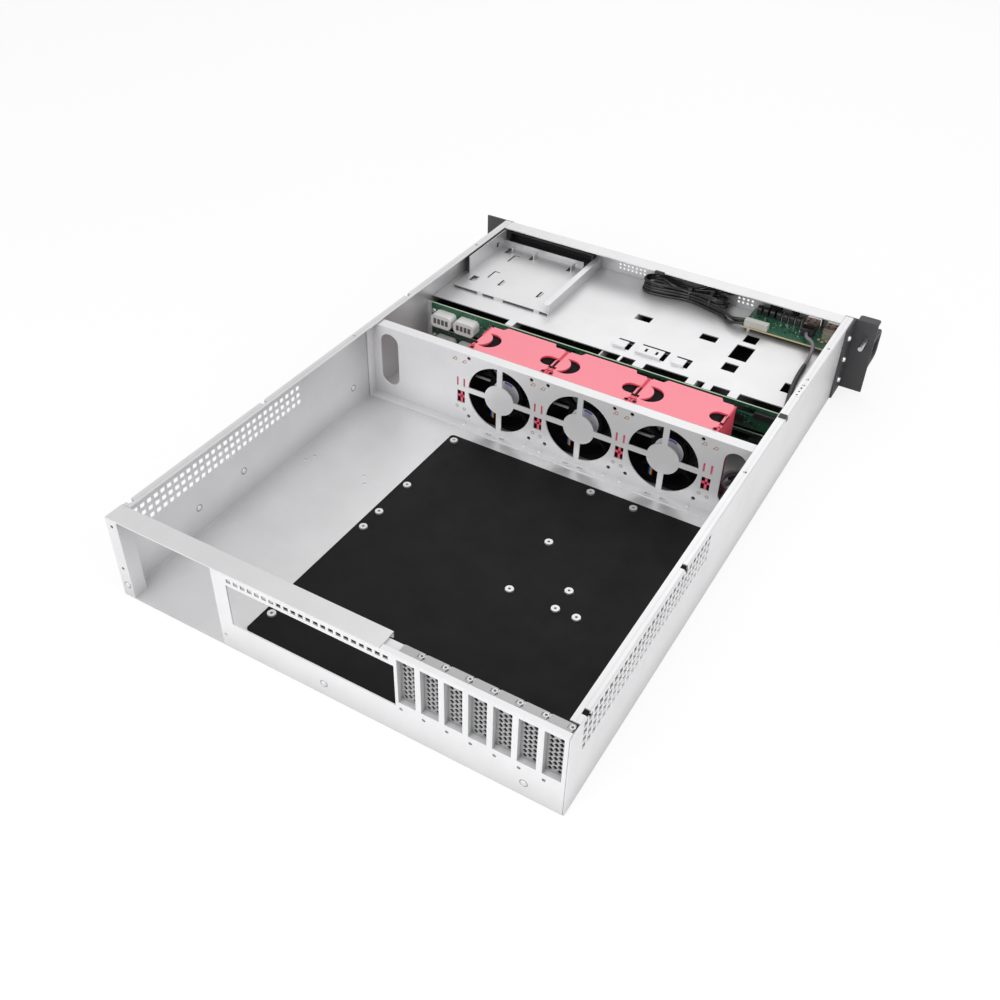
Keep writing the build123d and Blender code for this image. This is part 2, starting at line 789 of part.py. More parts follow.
        # Cambered blades set at an angle to the shaft
        for blade in range(blade_count):
            turn = radians(360 / blade_count * blade)
            outward = Vector(cos(turn), 0, sin(turn))
            along = Vector(0, 1, 0)
            root = hub_radius - 1.5
            blade_plane = Plane(
                origin=(centre + outward.X * root, rotor_middle, fan_z + outward.Z * root),
                x_dir=along.rotate(Axis((0, 0, 0), outward), blade_pitch_angle),
                z_dir=outward,
            )
            with BuildSketch(blade_plane):
                with BuildLine():
                    ThreePointArc((-blade_chord / 2, 0), (0, blade_camber), (blade_chord / 2, 0))
                    Line((blade_chord / 2, 0), (blade_chord / 2, -blade_thickness))
                    ThreePointArc(
                        (blade_chord / 2, -blade_thickness),
                        (0, blade_camber - blade_thickness),
                        (-blade_chord / 2, -blade_thickness),
                    )
                    Line((-blade_chord / 2, -blade_thickness), (-blade_chord / 2, 0))
                make_face()
            extrude(amount=blade_tip - root - blade_camber)
    fan_rotor.part.label = f"fan_rotor_{number}"
    export_step(fan_rotor.part, f"parts/fan_rotor_{number}.step")

# Backplanes, one behind each row of trays
backplane_half = inner_half - backplane_side_gap
for name, low, high in (("upper", upper_low, upper_high), ("lower", lower_low, lower_high)):
    with BuildPart() as backplane:
        with BuildSketch(upright(backplane_y)):
            with Locations((0, low)):
                Rectangle(2 * backplane_half, high - low, align=(Align.CENTER, Align.MIN))
            with Locations(*[(x, high - air_slot_height) for x in column_centres[:3]]):
                Rectangle(air_slot_width, air_slot_height, mode=Mode.SUBTRACT)
        extrude(amount=-board_thickness)
    backplane.part.label = f"backplane_{name}"
    export_step(backplane.part, f"parts/backplane_{name}.step")

board_rear = backplane_y + board_thickness
socket_width, socket_depth, socket_height = power_socket
with BuildPart() as power_sockets:
    for low, high in ((upper_low, upper_high), (lower_low, lower_high)):
        with BuildSketch(upright(board_rear)):
            with Locations(*[(x, (low + high) / 2) for x in power_socket_places]):
                RectangleRounded(socket_width, socket_height, power_socket_corner)
        extrude(amount=-socket_depth)
power_sockets.part.label = "power_sockets"
export_step(power_sockets.part, "parts/power_sockets.step")

plug_width, plug_depth, plug_height = drive_socket
with BuildPart() as drive_sockets:
    for base in (lower_tray_z, upper_tray_z):
        with Locations(*[(x, backplane_y, base + tray_sheet + plug_height) for x in column_centres]):
            Box(plug_width, plug_depth, plug_height, align=(Align.CENTER, Align.MAX, Align.CENTER))
drive_sockets.part.label = "drive_sockets"
export_step(drive_sockets.part, "parts/drive_sockets.step")

# Cage dividers with ledges for the upper trays and flanges for the backplanes
for number, x in enumerate(divider_places, start=1):
    with BuildPart() as cage_divider:
        with BuildSketch(upright(front + cage_front_y)):
            with Locations((x, sheet)):
                Rectangle(sheet, deck_bottom - sheet, align=(Align.CENTER, Align.MIN))
            with Locations((x, ledge_top)):
                Rectangle(sheet + 2 * ledge_width, ledge_sheet, align=(Align.CENTER, Align.MAX))
        extrude(amount=-(ledge_rear_y - cage_front_y))
        with Locations((x, backplane_y, sheet)):
            Box(
                sheet,
                backplane_y - front - ledge_rear_y,
                deck_bottom - sheet,
                align=(Align.CENTER, Align.MAX, Align.MIN),
            )
        with Locations((x, backplane_y, lower_low)):
            Box(
                sheet + 2 * ledge_width,
                sheet,
                deck_bottom - lower_low,
                align=(Align.CENTER, Align.MAX, Align.MIN),
            )
    cage_divider.part.label = f"cage_divider_{number}"
    export_step(cage_divider.part, f"parts/cage_divider_{number}.step")

# Side rails for the outer upper trays
for name, side in (("left", 1), ("right", -1)):
    edge = Align.MAX if side > 0 else Align.MIN
    with BuildPart() as cage_rail:
        with BuildSketch(upright(front + cage_front_y)):
            with Locations((side * inner_half, ledge_top)):
                Rectangle(rail_sheet + ledge_width, ledge_sheet, align=(edge, Align.MAX))
                Rectangle(rail_sheet, 2 * ledge_width, align=(edge, Align.CENTER))
        extrude(amount=-(ledge_rear_y - cage_front_y))
        with Locations((side * inner_half, backplane_y, lower_low)):
            Box(
                rail_sheet + ledge_width + ledge_width,
                sheet,
                deck_bottom - lower_low,
                align=(edge, Align.MAX, Align.MIN),
            )
        with Locations((side * inner_half, backplane_y, ledge_top + ledge_width)):
            Box(
                rail_sheet,
                backplane_y - front - ledge_rear_y,
                2 * ledge_width,
                align=(edge, Align.MAX, Align.MAX),
            )
    cage_rail.part.label = f"cage_rail_{name}"
    export_step(cage_rail.part, f"parts/cage_rail_{name}.step")

# Deck over the drive cage, with its windows, latches and board posts
deck_half = inner_half - fit_gap
with BuildPart() as cage_deck:
    with BuildSketch(Plane.XY.offset(deck_bottom)):
        with Locations((0, front + deck_front_y)):
            Rectangle(2 * deck_half, deck_rear_y - deck_front_y, align=(Align.CENTER, Align.MIN))
        for x, y, width, length in deck_windows + raised_tabs:
            with Locations((x, front + y)):
                Rectangle(width, length, align=(Align.MIN, Align.MIN), mode=Mode.SUBTRACT)
        # Tongues that reach back to the upper backplane
        for x, width in deck_tongues:
            with Locations((x, front + deck_rear_y)):
                Rectangle(
                    width,
                    backplane_y - fit_gap - front - deck_rear_y,
                    align=(Align.CENTER, Align.MIN),
                )
    extrude(amount=sheet)
    # Tabs pressed up over their windows from the rear edge
    for x, y, width, length in raised_tabs:
        with Locations((x + tab_side_gap, front + y + length + sheet, deck_bottom)):
            Box(
                width - tab_side_gap,
                sheet,
                tab_rise + sheet,
                align=(Align.MIN, Align.MAX, Align.MIN),
            )
        with Locations((x + tab_side_gap, front + y + length + sheet, deck_top + tab_rise)):
            Box(
                width - tab_side_gap,
                length + sheet - tab_front_gap,
                sheet,
                align=(Align.MIN, Align.MAX, Align.MAX),
            )
    with BuildSketch(Plane.XY.offset(deck_top)):
        with Locations(*[(x, front + tab_slot_y) for x in tab_slots]):
            Rectangle(*tab_slot)
    extrude(amount=tab_rise, mode=Mode.SUBTRACT)
    with BuildSketch(Plane.XY.offset(deck_top)):
        with Locations(*[(x, front + y) for x, y in board_posts]):
            Circle(post_radius)
    extrude(amount=io_board_low - deck_top)
cage_deck.part.label = "cage_deck"
export_step(cage_deck.part, "parts/cage_deck.step")

# Eight trays in two rows, each with a hinged lever in its bezel
bezel_width = column_clear - 2 * tray_side_gap
tray_width = column_clear - 2 * tray_body_gap
bezel_front = front - bezel_out
lever_front = bezel_front + fit_gap
lever_axis_y = lever_front + lever_thickness / 2
tray_number = 0
for base in (lower_tray_z, upper_tray_z):
    for x in column_centres:
        tray_number += 1
        bezel_middle = base + bezel_height / 2
        hinge_x = x - recess_width / 2 + pin_inset
        with BuildPart() as drive_tray:
            with BuildSketch(upright(bezel_front)):
                with Locations((x, bezel_middle)):
                    Rectangle(bezel_width, bezel_height)
            extrude(amount=-bezel_depth)
            with BuildSketch(upright(bezel_front)):
                with Locations((x, bezel_middle)):
                    Rectangle(recess_width, recess_height)
            extrude(amount=-recess_depth, mode=Mode.SUBTRACT)
            with BuildSketch(upright(bezel_front)):
                with Locations((x, bezel_middle)):
                    with GridLocations(tray_slot_pitch, 1, tray_slot_count, 1):
                        Rectangle(tray_slot_width, tray_slot_height)
            extrude(amount=-bezel_depth, mode=Mode.SUBTRACT)
            # Carrier pan behind the bezel
            with BuildSketch(upright(bezel_front + bezel_depth)):
                with Locations((x, base)):
                    Rectangle(tray_width, tray_side_height, align=(Align.CENTER, Align.MIN))
                with Locations((x, base + tray_sheet)):
                    Rectangle(
                        tray_width - 2 * tray_sheet,
                        tray_side_height,
                        align=(Align.CENTER, Align.MIN),
                        mode=Mode.SUBTRACT,
                    )
            extrude(amount=-(tray_length - bezel_depth))
            # Seats for the lever pin
            with BuildSketch(Plane.XY.offset(bezel_middle - recess_height / 2 - pin_seat - pin_gap)):
                with Locations((hinge_x, lever_axis_y)):
                    Circle(pin_radius + pin_gap)
            extrude(amount=recess_height + 2 * pin_seat + 2 * pin_gap, mode=Mode.SUBTRACT)
        drive_tray.part.label = f"drive_tray_{tray_number}"
        export_step(drive_tray.part, f"parts/drive_tray_{tray_number}.step")

        with BuildPart() as tray_lever:
            with BuildSketch(Plane.XY.offset(bezel_middle - lever_height / 2)):
                with Locations((hinge_x, lever_axis_y)):
                    Circle(lever_thickness / 2)
                    Rectangle(lever_length, lever_thickness, align=(Align.MIN, Align.CENTER))
            extrude(amount=lever_height)
            with BuildSketch(upright(lever_front)):
                with Locations((hinge_x + lever_length / 2, bezel_middle)):
                    Rectangle(lever_window_length, lever_window_height)
            extrude(amount=-lever_thickness, mode=Mode.SUBTRACT)
            with BuildSketch(Plane.XY.offset(bezel_middle - recess_height / 2 - pin_seat)):
                with Locations((hinge_x, lever_axis_y)):
                    Circle(pin_radius)
            extrude(amount=recess_height + 2 * pin_seat)
        tray_lever.part.label = f"tray_lever_{tray_number}"
        export_step(tray_lever.part, f"parts/tray_lever_{tray_number}.step")

# Front panel strip above the trays
with BuildPart() as front_panel:
    with BuildSketch(upright(front)):
        with Locations((0, deck_bottom)):
            Rectangle(2 * deck_half, rim_under - fit_gap - deck_bottom, align=(Align.CENTER, Align.MIN))
        with Locations((bay_right, bay_low)):
            Rectangle(
                bay_left - bay_right,
                bay_high - bay_low,
                align=(Align.MIN, Align.MIN),
                mode=Mode.SUBTRACT,
            )
        for x, z, columns, rows in front_vent_groups:
            with Locations((x, z)):
                with GridLocations(front_vent_pitch_x, front_vent_pitch_z, columns, rows):
                    RegularPolygon(radius=front_vent_radius, side_count=6, mode=Mode.SUBTRACT)
        with Locations(*[(x, io_board_low + board_thickness + usb_height / 2) for x in usb_places]):
            Rectangle(usb_width + 2 * usb_gap, usb_height + 2 * usb_gap, mode=Mode.SUBTRACT)
        with Locations((power_x, button_z)):
            Circle(power_radius + button_gap, mode=Mode.SUBTRACT)
        with Locations((reset_x, button_z)):
            Circle(reset_radius + button_gap, mode=Mode.SUBTRACT)
    extrude(amount=-sheet)
    with Locations((0, front, rim_top)):
        Box(
            2 * (half_width - rim_width - fit_gap),
            top_flange_depth,
            sheet,
            align=(Align.CENTER, Align.MIN, Align.MAX),
        )
        Box(
            2 * (half_width - rim_width - fit_gap),
            sheet,
            2 * sheet,
            align=(Align.CENTER, Align.MIN, Align.MAX),
        )
front_panel.part.label = "front_panel"
export_step(front_panel.part, "parts/front_panel.step")

# Slim bay pan on the deck and the black blank in its opening
pan_front = front + sheet + fit_gap
with BuildPart() as bay_pan:
    with BuildSketch(upright(pan_front)):
        with Locations((pan_right, pan_floor_top)):
            Rectangle(pan_left - pan_right, pan_sheet, align=(Align.MIN, Align.MAX))
        with Locations((pan_right, deck_top)):
            Rectangle(pan_sheet, pan_side_top - deck_top, align=(Align.MIN, Align.MIN))
        with Locations((pan_right, pan_side_top)):
            Rectangle(pan_flange, pan_sheet, align=(Align.MIN, Align.MAX))
        with Locations((pan_left, deck_top)):
            Rectangle(pan_sheet, pan_floor_top - deck_top, align=(Align.MAX, Align.MIN))
    extrude(amount=-(front + pan_rear_y - pan_front))
    with BuildSketch(Plane.XY.offset(pan_floor_top - pan_sheet)):
        for x, y, width, length in pan_windows:
            with Locations((x, front + y)):
                Rectangle(width, length)
        for x, y in pan_hooks:
            with Locations((x, front + y)):
                Rectangle(pan_hook_slit, pan_hook_length)
            with Locations((x, front + y - pan_hook_length / 2)):
                Rectangle(pan_hook_reach, pan_hook_slit, align=(Align.MAX, Align.MIN))
    extrude(amount=pan_sheet, mode=Mode.SUBTRACT)
    # Tall left wall with its slot, and the low upstand behind the blank
    with BuildSketch(Plane.YZ.offset(pan_left)):
        with Locations((front + pan_wall_first_y, deck_top)):
            Rectangle(
                pan_wall_last_y - pan_wall_first_y,
                pan_wall_top - deck_top,
                align=(Align.MIN, Align.MIN),
            )
        with Locations((front + pan_wall_slot[0], pan_wall_slot[1])):
            Rectangle(pan_hook_slit * 2, pan_hook_reach, mode=Mode.SUBTRACT)
    extrude(amount=-pan_sheet)
    with Locations((pan_upstand[0], front + pan_upstand[1], pan_floor_top - pan_sheet)):
        Box(
            pan_left - pan_upstand[0],
            pan_sheet,
            pan_upstand[2] + pan_sheet,
            align=(Align.MIN, Align.MIN, Align.MIN),
        )
    # Lugs turned up beside the windows, and feet turned down at the rear edge
    for x, y, width, length in pan_windows:
        lug_rise = pan_lug_rise if y < pan_rear_y / 2 else pan_sheet
        with Locations((x - width / 2, front + y, pan_floor_top - pan_sheet)):
            Box(
                pan_sheet,
                length - width,
                lug_rise + pan_sheet,
                align=(Align.MAX, Align.CENTER, Align.MIN),
            )
    for x, width in pan_tabs:
        with Locations((x, front + pan_rear_y, deck_top)):
            Box(
                width,
                pan_sheet,
                pan_floor_top - deck_top,
                align=(Align.CENTER, Align.MAX, Align.MIN),
            )
bay_pan.part.label = "bay_pan"
export_step(bay_pan.part, "parts/bay_pan.step")

blank_width = bay_left - bay_right - 2 * fit_gap
blank_height = bay_high - bay_low - 2 * fit_gap
blank_middle = ((bay_left + bay_right) / 2, (bay_low + bay_high) / 2)
with BuildPart() as bay_blank:
    with BuildSketch(upright(front - blank_out)):
        with Locations(blank_middle):
            Rectangle(blank_width, blank_height)
    extrude(amount=-blank_depth)
    with BuildSketch(upright(front - blank_out + blank_depth)):
        with Locations(blank_middle):
            Rectangle(blank_width - 2 * blank_wall, blank_height - 2 * blank_wall)
    extrude(amount=blank_depth - blank_wall, mode=Mode.SUBTRACT)
bay_blank.part.label = "bay_blank"
export_step(bay_blank.part, "parts/bay_blank.step")

# Rack ears, handles and captive screws on both sides
ear_rear = front - ear_stand_off
ear_front = ear_rear - ear_thickness
ear_low = ear_margin
ear_high = body_height - ear_margin
for name, side in (("left", 1), ("right", -1)):
    edge = Align.MIN if side > 0 else Align.MAX
    with BuildPart() as rack_ear:
        with BuildSketch(upright(ear_rear)):
            with Locations((side * half_width, ear_low)):
                Rectangle(rack_width / 2 - half_width, ear_high - ear_low, align=(edge, Align.MIN))
            with Locations((side * (half_width - ear_tab_width), deck_top)):
                Rectangle(ear_tab_width, ear_high - deck_top, align=(edge, Align.MIN))
            with Locations((side * rack_screw_x, rack_screw_z)):
                Circle(rack_screw_neck + rack_screw_gap, mode=Mode.SUBTRACT)
        extrude(amount=ear_thickness)
        # The right ear alone has a hood folded forward along its top
        if side < 0:
            with BuildSketch(Plane.XY.offset(ear_high - ear_thickness)):
                with Locations((side * rack_width / 2, ear_front)):
                    Rectangle(ear_hood_width, ear_hood_depth, align=(Align.MIN, Align.MAX))
                fillet(vertices().group_by(Axis.Y)[0], ear_hood_corner)
            extrude(amount=ear_thickness)
        with Locations((side * half_width, ear_rear, ear_low)):
            Box(
                ear_thickness,
                ear_plate_length,
                ear_high - ear_low,
                align=(edge, Align.MIN, Align.MIN),
            )
    rack_ear.part.label = f"rack_ear_{name}"
    export_step(rack_ear.part, f"parts/rack_ear_{name}.step")

    handle_x = side * (rack_width / 2 - handle_edge - handle_bar / 2)
    bar_y = ear_front - handle_reach + handle_bar / 2
    with BuildPart() as ear_handle:
        with BuildLine(Plane.YZ.offset(handle_x)) as handle_path:
            FilletPolyline(
                (ear_front, handle_low),
                (bar_y, handle_low),
                (bar_y, handle_high),
                (ear_front, handle_high),
                radius=handle_bend,
            )
        with BuildSketch(upright(ear_front)):
            with Locations((handle_x, handle_low)):
                Rectangle(handle_bar, handle_bar)
                chamfer(vertices(), handle_bar / 5)
        sweep(path=handle_path.line)
    ear_handle.part.label = f"handle_{name}"
    export_step(ear_handle.part, f"parts/handle_{name}.step")

with BuildPart() as rack_screws:
    with BuildSketch(upright(ear_front)):
        with Locations((-rack_screw_x, rack_screw_z), (rack_screw_x, rack_screw_z)):
            Circle(rack_screw_head)
    extrude(amount=rack_screw_head_length)
    # A thinner neck runs through the ear, and the thread starts behind it
    with BuildSketch(upright(ear_front)):
        with Locations((-rack_screw_x, rack_screw_z), (rack_screw_x, rack_screw_z)):
            Circle(rack_screw_neck)
    extrude(amount=-rack_screw_length)
    with BuildSketch(upright(ear_rear + fit_gap)):
        with Locations((-rack_screw_x, rack_screw_z), (rack_screw_x, rack_screw_z)):
            Circle(rack_screw_radius)
    extrude(amount=-(rack_screw_length - ear_thickness - fit_gap))
rack_screws.part.label = "rack_screws"
export_step(rack_screws.part, "parts/rack_screws.step")

# Front board and what stands on it
io_board_top = io_board_low + board_thickness
with BuildPart() as front_board:
    with BuildSketch(Plane.XY.offset(io_board_low)):
        with Locations((io_board_right, front + io_board_front_y)):
            Rectangle(
                io_board_left - io_board_right,
                io_board_rear_y - io_board_front_y,
                align=(Align.MIN, Align.MIN),
            )
    extrude(amount=board_thickness)
front_board.part.label = "front_board"
export_step(front_board.part, "parts/front_board.step")

usb_front = front + sheet + fit_gap
with BuildPart() as usb_sockets:
    with BuildSketch(upright(usb_front)):
        with Locations(*[(x, io_board_top + usb_height / 2) for x in usb_places]):
            Rectangle(usb_width, usb_height)
    extrude(amount=-usb_length)
    with BuildSketch(upright(usb_front)):
        with Locations(*[(x, io_board_top + usb_height / 2) for x in usb_places]):
            Rectangle(usb_width - 2 * usb_wall, usb_height - 2 * usb_wall)
    extrude(amount=-(usb_length - usb_height / 2), mode=Mode.SUBTRACT)
usb_sockets.part.label = "usb_sockets"
export_step(usb_sockets.part, "parts/usb_sockets.step")

with BuildPart() as front_switches:
    for i in range(switch_count):
        with Locations((switch_first - switch_pitch * i, front + switch_front_y, io_board_top)):
            Box(switch_width, switch_length, switch_height, align=(Align.CENTER, Align.MIN, Align.MIN))
    with Locations((header_place[0], front + header_place[1], io_board_top)):
        Box(*header_size, align=(Align.CENTER, Align.CENTER, Align.MIN))
front_switches.part.label = "front_switches"
export_step(front_switches.part, "parts/front_switches.step")

with BuildPart() as cable_plug:
    with Locations((plug_place[0], front + plug_place[1], io_board_top)):
        Box(*plug_size, align=(Align.CENTER, Align.CENTER, Align.MIN))
    fillet(cable_plug.edges().filter_by(Axis.Z), fit_gap)
cable_plug.part.label = "cable_plug"
export_step(cable_plug.part, "parts/cable_plug.step")

for name, x, radius in (("power", power_x, power_radius), ("reset", reset_x, reset_radius)):
    with BuildPart() as button:
        with BuildSketch(upright(front - button_out)):
            with Locations((x, button_z)):
                Circle(radius)
        extrude(amount=-button_length)
        with BuildSketch(upright(front + sheet + fit_gap)):
            with Locations((x, button_z)):
                Circle(radius + button_flange)
        extrude(amount=-sheet)
    button.part.label = f"{name}_button"
    export_step(button.part, f"parts/{name}_button.step")

# Tied hank of cable along the front wall
with BuildPart() as cable_hank:
    with BuildSketch(Plane.XY.offset(deck_top)):
        with Locations((hank_centre[0], front + hank_centre[1])):
            RectangleRounded(hank_length, hank_depth, hank_corner)
            with Locations((0, -hank_depth / 2), (0, hank_depth / 2)):
                Ellipse(hank_length / 6, hank_waist, mode=Mode.SUBTRACT)
    extrude(amount=hank_height)
    chamfer(cable_hank.faces().sort_by(Axis.Z)[-1].edges(), hank_edge)
    # Its tail runs up to the plug on the front board
    plug_side = (plug_place[0] + plug_size[0] / 2, front + plug_place[1])
    hank_side = (hank_centre[0] - hank_length / 2 + hank_corner, front + hank_centre[1])
    with BuildSketch(Plane.XY.offset(io_board_top)):
        with BuildLine():
            Polyline(
                (plug_side[0], plug_side[1] - tail_width / 2),
                (plug_side[0], plug_side[1] + tail_width / 2),
                (hank_side[0] - hank_corner, plug_side[1] - hank_corner / 2),
                (hank_side[0], hank_side[1] + hank_corner),
                (hank_side[0], hank_side[1] - hank_corner),
                close=True,
            )
        make_face()
    extrude(amount=tail_height)
cable_hank.part.label = "cable_hank"
export_step(cable_hank.part, "parts/cable_hank.step")

# Front lead: a tube over the deck, and its spare length coiled on the floor
lead_points = [Vector(x, front + y, z) for x, y, z in lead_route]
lead_radii = []
for before, corner, after in zip(lead_points, lead_points[1:], lead_points[2:]):
    half_turn = radians((corner - before).get_angle(after - corner)) / 2
    shorter = min((corner - before).length, (after - corner).length)
    lead_radii.append(lead_share * shorter * cos(half_turn) / sin(half_turn))
print("lead bend radii", [round(radius, 1) for radius in lead_radii])
with BuildPart() as front_lead:
    with BuildLine() as lead_line:
        FilletPolyline(*lead_points, radius=lead_radii)
    with BuildSketch(Plane(origin=lead_points[0], z_dir=lead_points[1] - lead_points[0])):
        Circle(lead_radius)
    sweep(path=lead_line.wire())
front_lead.part.label = "front_lead"
export_step(front_lead.part, "parts/front_lead.step")

with BuildPart() as lead_coil:
    with BuildSketch(Plane.XY.offset(sheet)):
        with Locations((coil_centre[0], front + coil_centre[1])):
            Circle(coil_outer)
            Circle(coil_inner, mode=Mode.SUBTRACT)
    extrude(amount=lead_route[-1][2] - sheet)
lead_coil.part.label = "lead_coil"
export_step(lead_coil.part, "parts/lead_coil.step")
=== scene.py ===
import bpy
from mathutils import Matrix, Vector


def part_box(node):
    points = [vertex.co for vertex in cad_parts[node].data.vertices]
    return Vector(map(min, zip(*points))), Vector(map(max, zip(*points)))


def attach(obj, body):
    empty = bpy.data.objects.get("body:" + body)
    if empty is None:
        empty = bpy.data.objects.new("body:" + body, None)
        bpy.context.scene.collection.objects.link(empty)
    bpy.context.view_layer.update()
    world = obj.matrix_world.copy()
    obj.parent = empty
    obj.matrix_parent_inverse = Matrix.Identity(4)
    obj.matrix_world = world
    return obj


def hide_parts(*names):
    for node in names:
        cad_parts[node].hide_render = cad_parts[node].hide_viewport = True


bl_info = {
    "name": "Rack server case",
    "version": (1, 0, 0),
    "blender": (4, 5, 0),
    "location": "View3D > Sidebar > Server case",
    "description": "Finishes and fine parts of an open rack server case",
    "category": "Object",
}

import random
from collections import namedtuple
from math import cos, pi, radians, sin

import bmesh
import bpy
from bpy.props import FloatProperty, FloatVectorProperty, IntProperty, PointerProperty
from mathutils import Matrix, Vector

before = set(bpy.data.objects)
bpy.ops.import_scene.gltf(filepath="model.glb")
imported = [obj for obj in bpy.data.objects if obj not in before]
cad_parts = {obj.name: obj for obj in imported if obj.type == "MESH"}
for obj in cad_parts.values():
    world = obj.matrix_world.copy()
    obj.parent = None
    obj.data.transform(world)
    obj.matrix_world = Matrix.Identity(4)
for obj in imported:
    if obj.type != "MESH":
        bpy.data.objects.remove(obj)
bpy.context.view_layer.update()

# Places and sizes are in millimetres, with Y counted from the front of the body
MM = 0.001
FRONT_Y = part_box("base_pan")[0][1] / MM


def at(x, y, z):
    """A place as a point of the scene, in metres."""
    return Vector((x * MM, (FRONT_Y + y) * MM, z * MM))


def place_of(point):
    """The place of a point of the scene."""
    return Vector((point[0] / MM, point[1] / MM - FRONT_Y, point[2] / MM))


def extent(node):
    """Low and high corner of a CAD node."""
    return [(x / MM, y / MM - FRONT_Y, z / MM) for x, y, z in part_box(node)]


def middle(node):
    """Centre of a CAD node."""
    return [(a + b) / 2 for a, b in zip(*extent(node))]


CASE = "case"
CARRIERS = (1, 2, 3)
TRAYS = tuple(range(1, 9))
SIDES = (("left", 1), ("right", -1))
UP = (0, 0, 1)
TO_REAR = (0, 1, 0)
SHEET = 1.2
BODY_HALF, BODY_DEPTH, BODY_TOP = extent("base_pan")[1]
WALL_INSIDE = BODY_HALF - SHEET
FAN_X = [middle(f"fan_frame_{i}")[0] for i in CARRIERS]
FAN_PITCH = FAN_X[0] - FAN_X[1]
SEAMS = [FAN_X[0] + FAN_PITCH * (0.5 - i) for i in range(4)]
FAN_WALL_FACE = 280.0
SLOT_PITCH = 20.32
# Thickness of printed marks, and of the painted shade in button rings and screw recesses
MARK_THICKNESS = 0.12


# Node trees


class Tree:
    """A node tree under construction."""

    def __init__(self, tree):
        self.tree = tree

    def fill(self, node, **values):
        """Sets a node's settings and sockets by name; a socket takes a value or a link."""
        for key, value in values.items():
            if hasattr(node, key):
                setattr(node, key, value)
                continue
            socket = node.inputs[key.replace("_", " ")]
            if isinstance(value, bpy.types.NodeSocket):
                self.link(value, socket)
            else:
                socket.default_value = value

    def node(self, kind, **values):
        made = self.tree.nodes.new(kind)
        self.fill(made, **values)
        return made

    def link(self, source, target):
        self.tree.links.new(source, target)

    def maths(self, operation, first, second=None):
        """A sum of another node's result and, where it needs one, a second result or number."""
        made = self.node("ShaderNodeMath", operation=operation)
        self.link(first, made.inputs[0])
        if isinstance(second, bpy.types.NodeSocket):
            self.link(second, made.inputs[1])
        elif second is not None:
            made.inputs[1].default_value = second
        return made.outputs[0]

    def ranged(self, source, low, high, from_low=0.0, from_high=1.0):
        """Spreads a value from one range to another."""
        sizes = {"From_Min": from_low, "From_Max": from_high, "To_Min": low, "To_Max": high}
        return self.node("ShaderNodeMapRange", Value=source, **sizes).outputs["Result"]


# Finishes

NOISE_RANGE = (0.3, 0.7)


class Finish(Tree):
    """A material on Object coordinates under construction."""

    def __init__(self, name, colour, roughness=0.5, metallic=0.0):
        self.material = bpy.data.materials.new(name)
        self.material.use_nodes = True
        super().__init__(self.material.node_tree)
        self.shader = self.tree.nodes["Principled BSDF"]
        self.give(Base_Color=(*colour, 1), Roughness=roughness, Metallic=metallic)
        self.place = self.node("ShaderNodeTexCoord").outputs["Object"]
        self.height = None

    def give(self, **values):
        """Gives the shader values or links."""
        self.fill(self.shader, **values)

    def noise(self, scale, detail=2.0, stretch=(1, 1, 1)):
        """A noise field, which a stretch can draw out into lines."""
        place = self.node("ShaderNodeMapping", Vector=self.place, Scale=stretch).outputs["Vector"]
        sizes = {"Scale": scale, "Detail": detail, "Roughness": 0.55}
        return self.node("ShaderNodeTexNoise", Vector=place, **sizes).outputs["Fac"]

    def tint(self, factor, colour):
        """Mixes another colour into the base by a factor."""
        base = self.shader.inputs["Base Color"]
        before = base.links[0].from_socket if base.is_linked else base.default_value
        mix = self.node(
            "ShaderNodeMix", data_type="RGBA", A=before, B=(*colour, 1), Factor=factor
        )
        self.link(mix.outputs["Result"], base)

    def mottle(self, scale, share, colour, detail=3.0, low=0.35):
        """Soft clouds of another colour, from none at all up to a share."""
        self.tint(self.ranged(self.noise(scale, detail), 0.0, share, low, 0.7), colour)

    def shine(self, source, low, high):
        """Varies the roughness."""
        self.give(Roughness=self.ranged(source, low, high, *NOISE_RANGE))

    def relief(self, source, distance, strength):
        """Adds a bump on top of any earlier one."""
        bump = self.node("ShaderNodeBump", Height=source, Distance=distance, Strength=strength)
        if self.height is not None:
            self.fill(bump, Normal=self.height)
        self.height = bump.outputs["Normal"]
        self.give(Normal=self.height)


def shade(colour, factor):
    """A darker or lighter copy of a colour."""
    return tuple(min(1.0, c * factor) for c in colour)


def galvanised(name, colour, grain, metallic=0.72):
    """Zinc-coated sheet: cloudy spangle, painted shade in corners and folds, fine rolling lines
    and a satin sheen.
    """
    made = Finish(name, colour, 0.4, metallic)
    made.mottle(26.0, 0.5, shade(colour, 0.9), detail=4.0)
    # Painted shade: ambient occlusion darkens the base colour in corners and folds
    corner = made.node("ShaderNodeAmbientOcclusion", samples=8, Distance=0.045)
    made.tint(made.ranged(corner.outputs["AO"], 0.6, 0.0, 0.15, 0.85), shade(colour, 0.3))
    lines = made.noise(420.0, stretch=grain)
    made.shine(lines, 0.34, 0.46)
    made.relief(lines, 0.00003, 0.12)
    return made.material


def film(name, colour):
    """Matt insulating film with a faint orange-peel surface."""
    made = Finish(name, colour)
    made.shine(made.noise(30.0, 3.0), 0.44, 0.6)
    made.relief(made.noise(900.0), 0.00002, 0.2)
    made.give(Specular_IOR_Level=0.18)
    return made.material


def moulded(name, colour, roughness=0.42):
    """Moulded plastic with a fine texture."""
    made = Finish(name, colour, roughness)
    made.relief(made.noise(1400.0), 0.00003, 0.25)
    made.mottle(40.0, 0.25, shade(colour, 0.86))
    made.shine(made.noise(120.0, 3.0), roughness - 0.06, roughness + 0.06)
    return made.material


def matt(name, colour):
    """Dull moulded plastic that hardly shines."""
    made = Finish(name, colour, 0.6)
    made.relief(made.noise(1400.0), 0.00003, 0.25)
    made.mottle(60.0, 0.4, shade(colour, 1.6))
    made.give(Specular_IOR_Level=0.1)
    return made.material


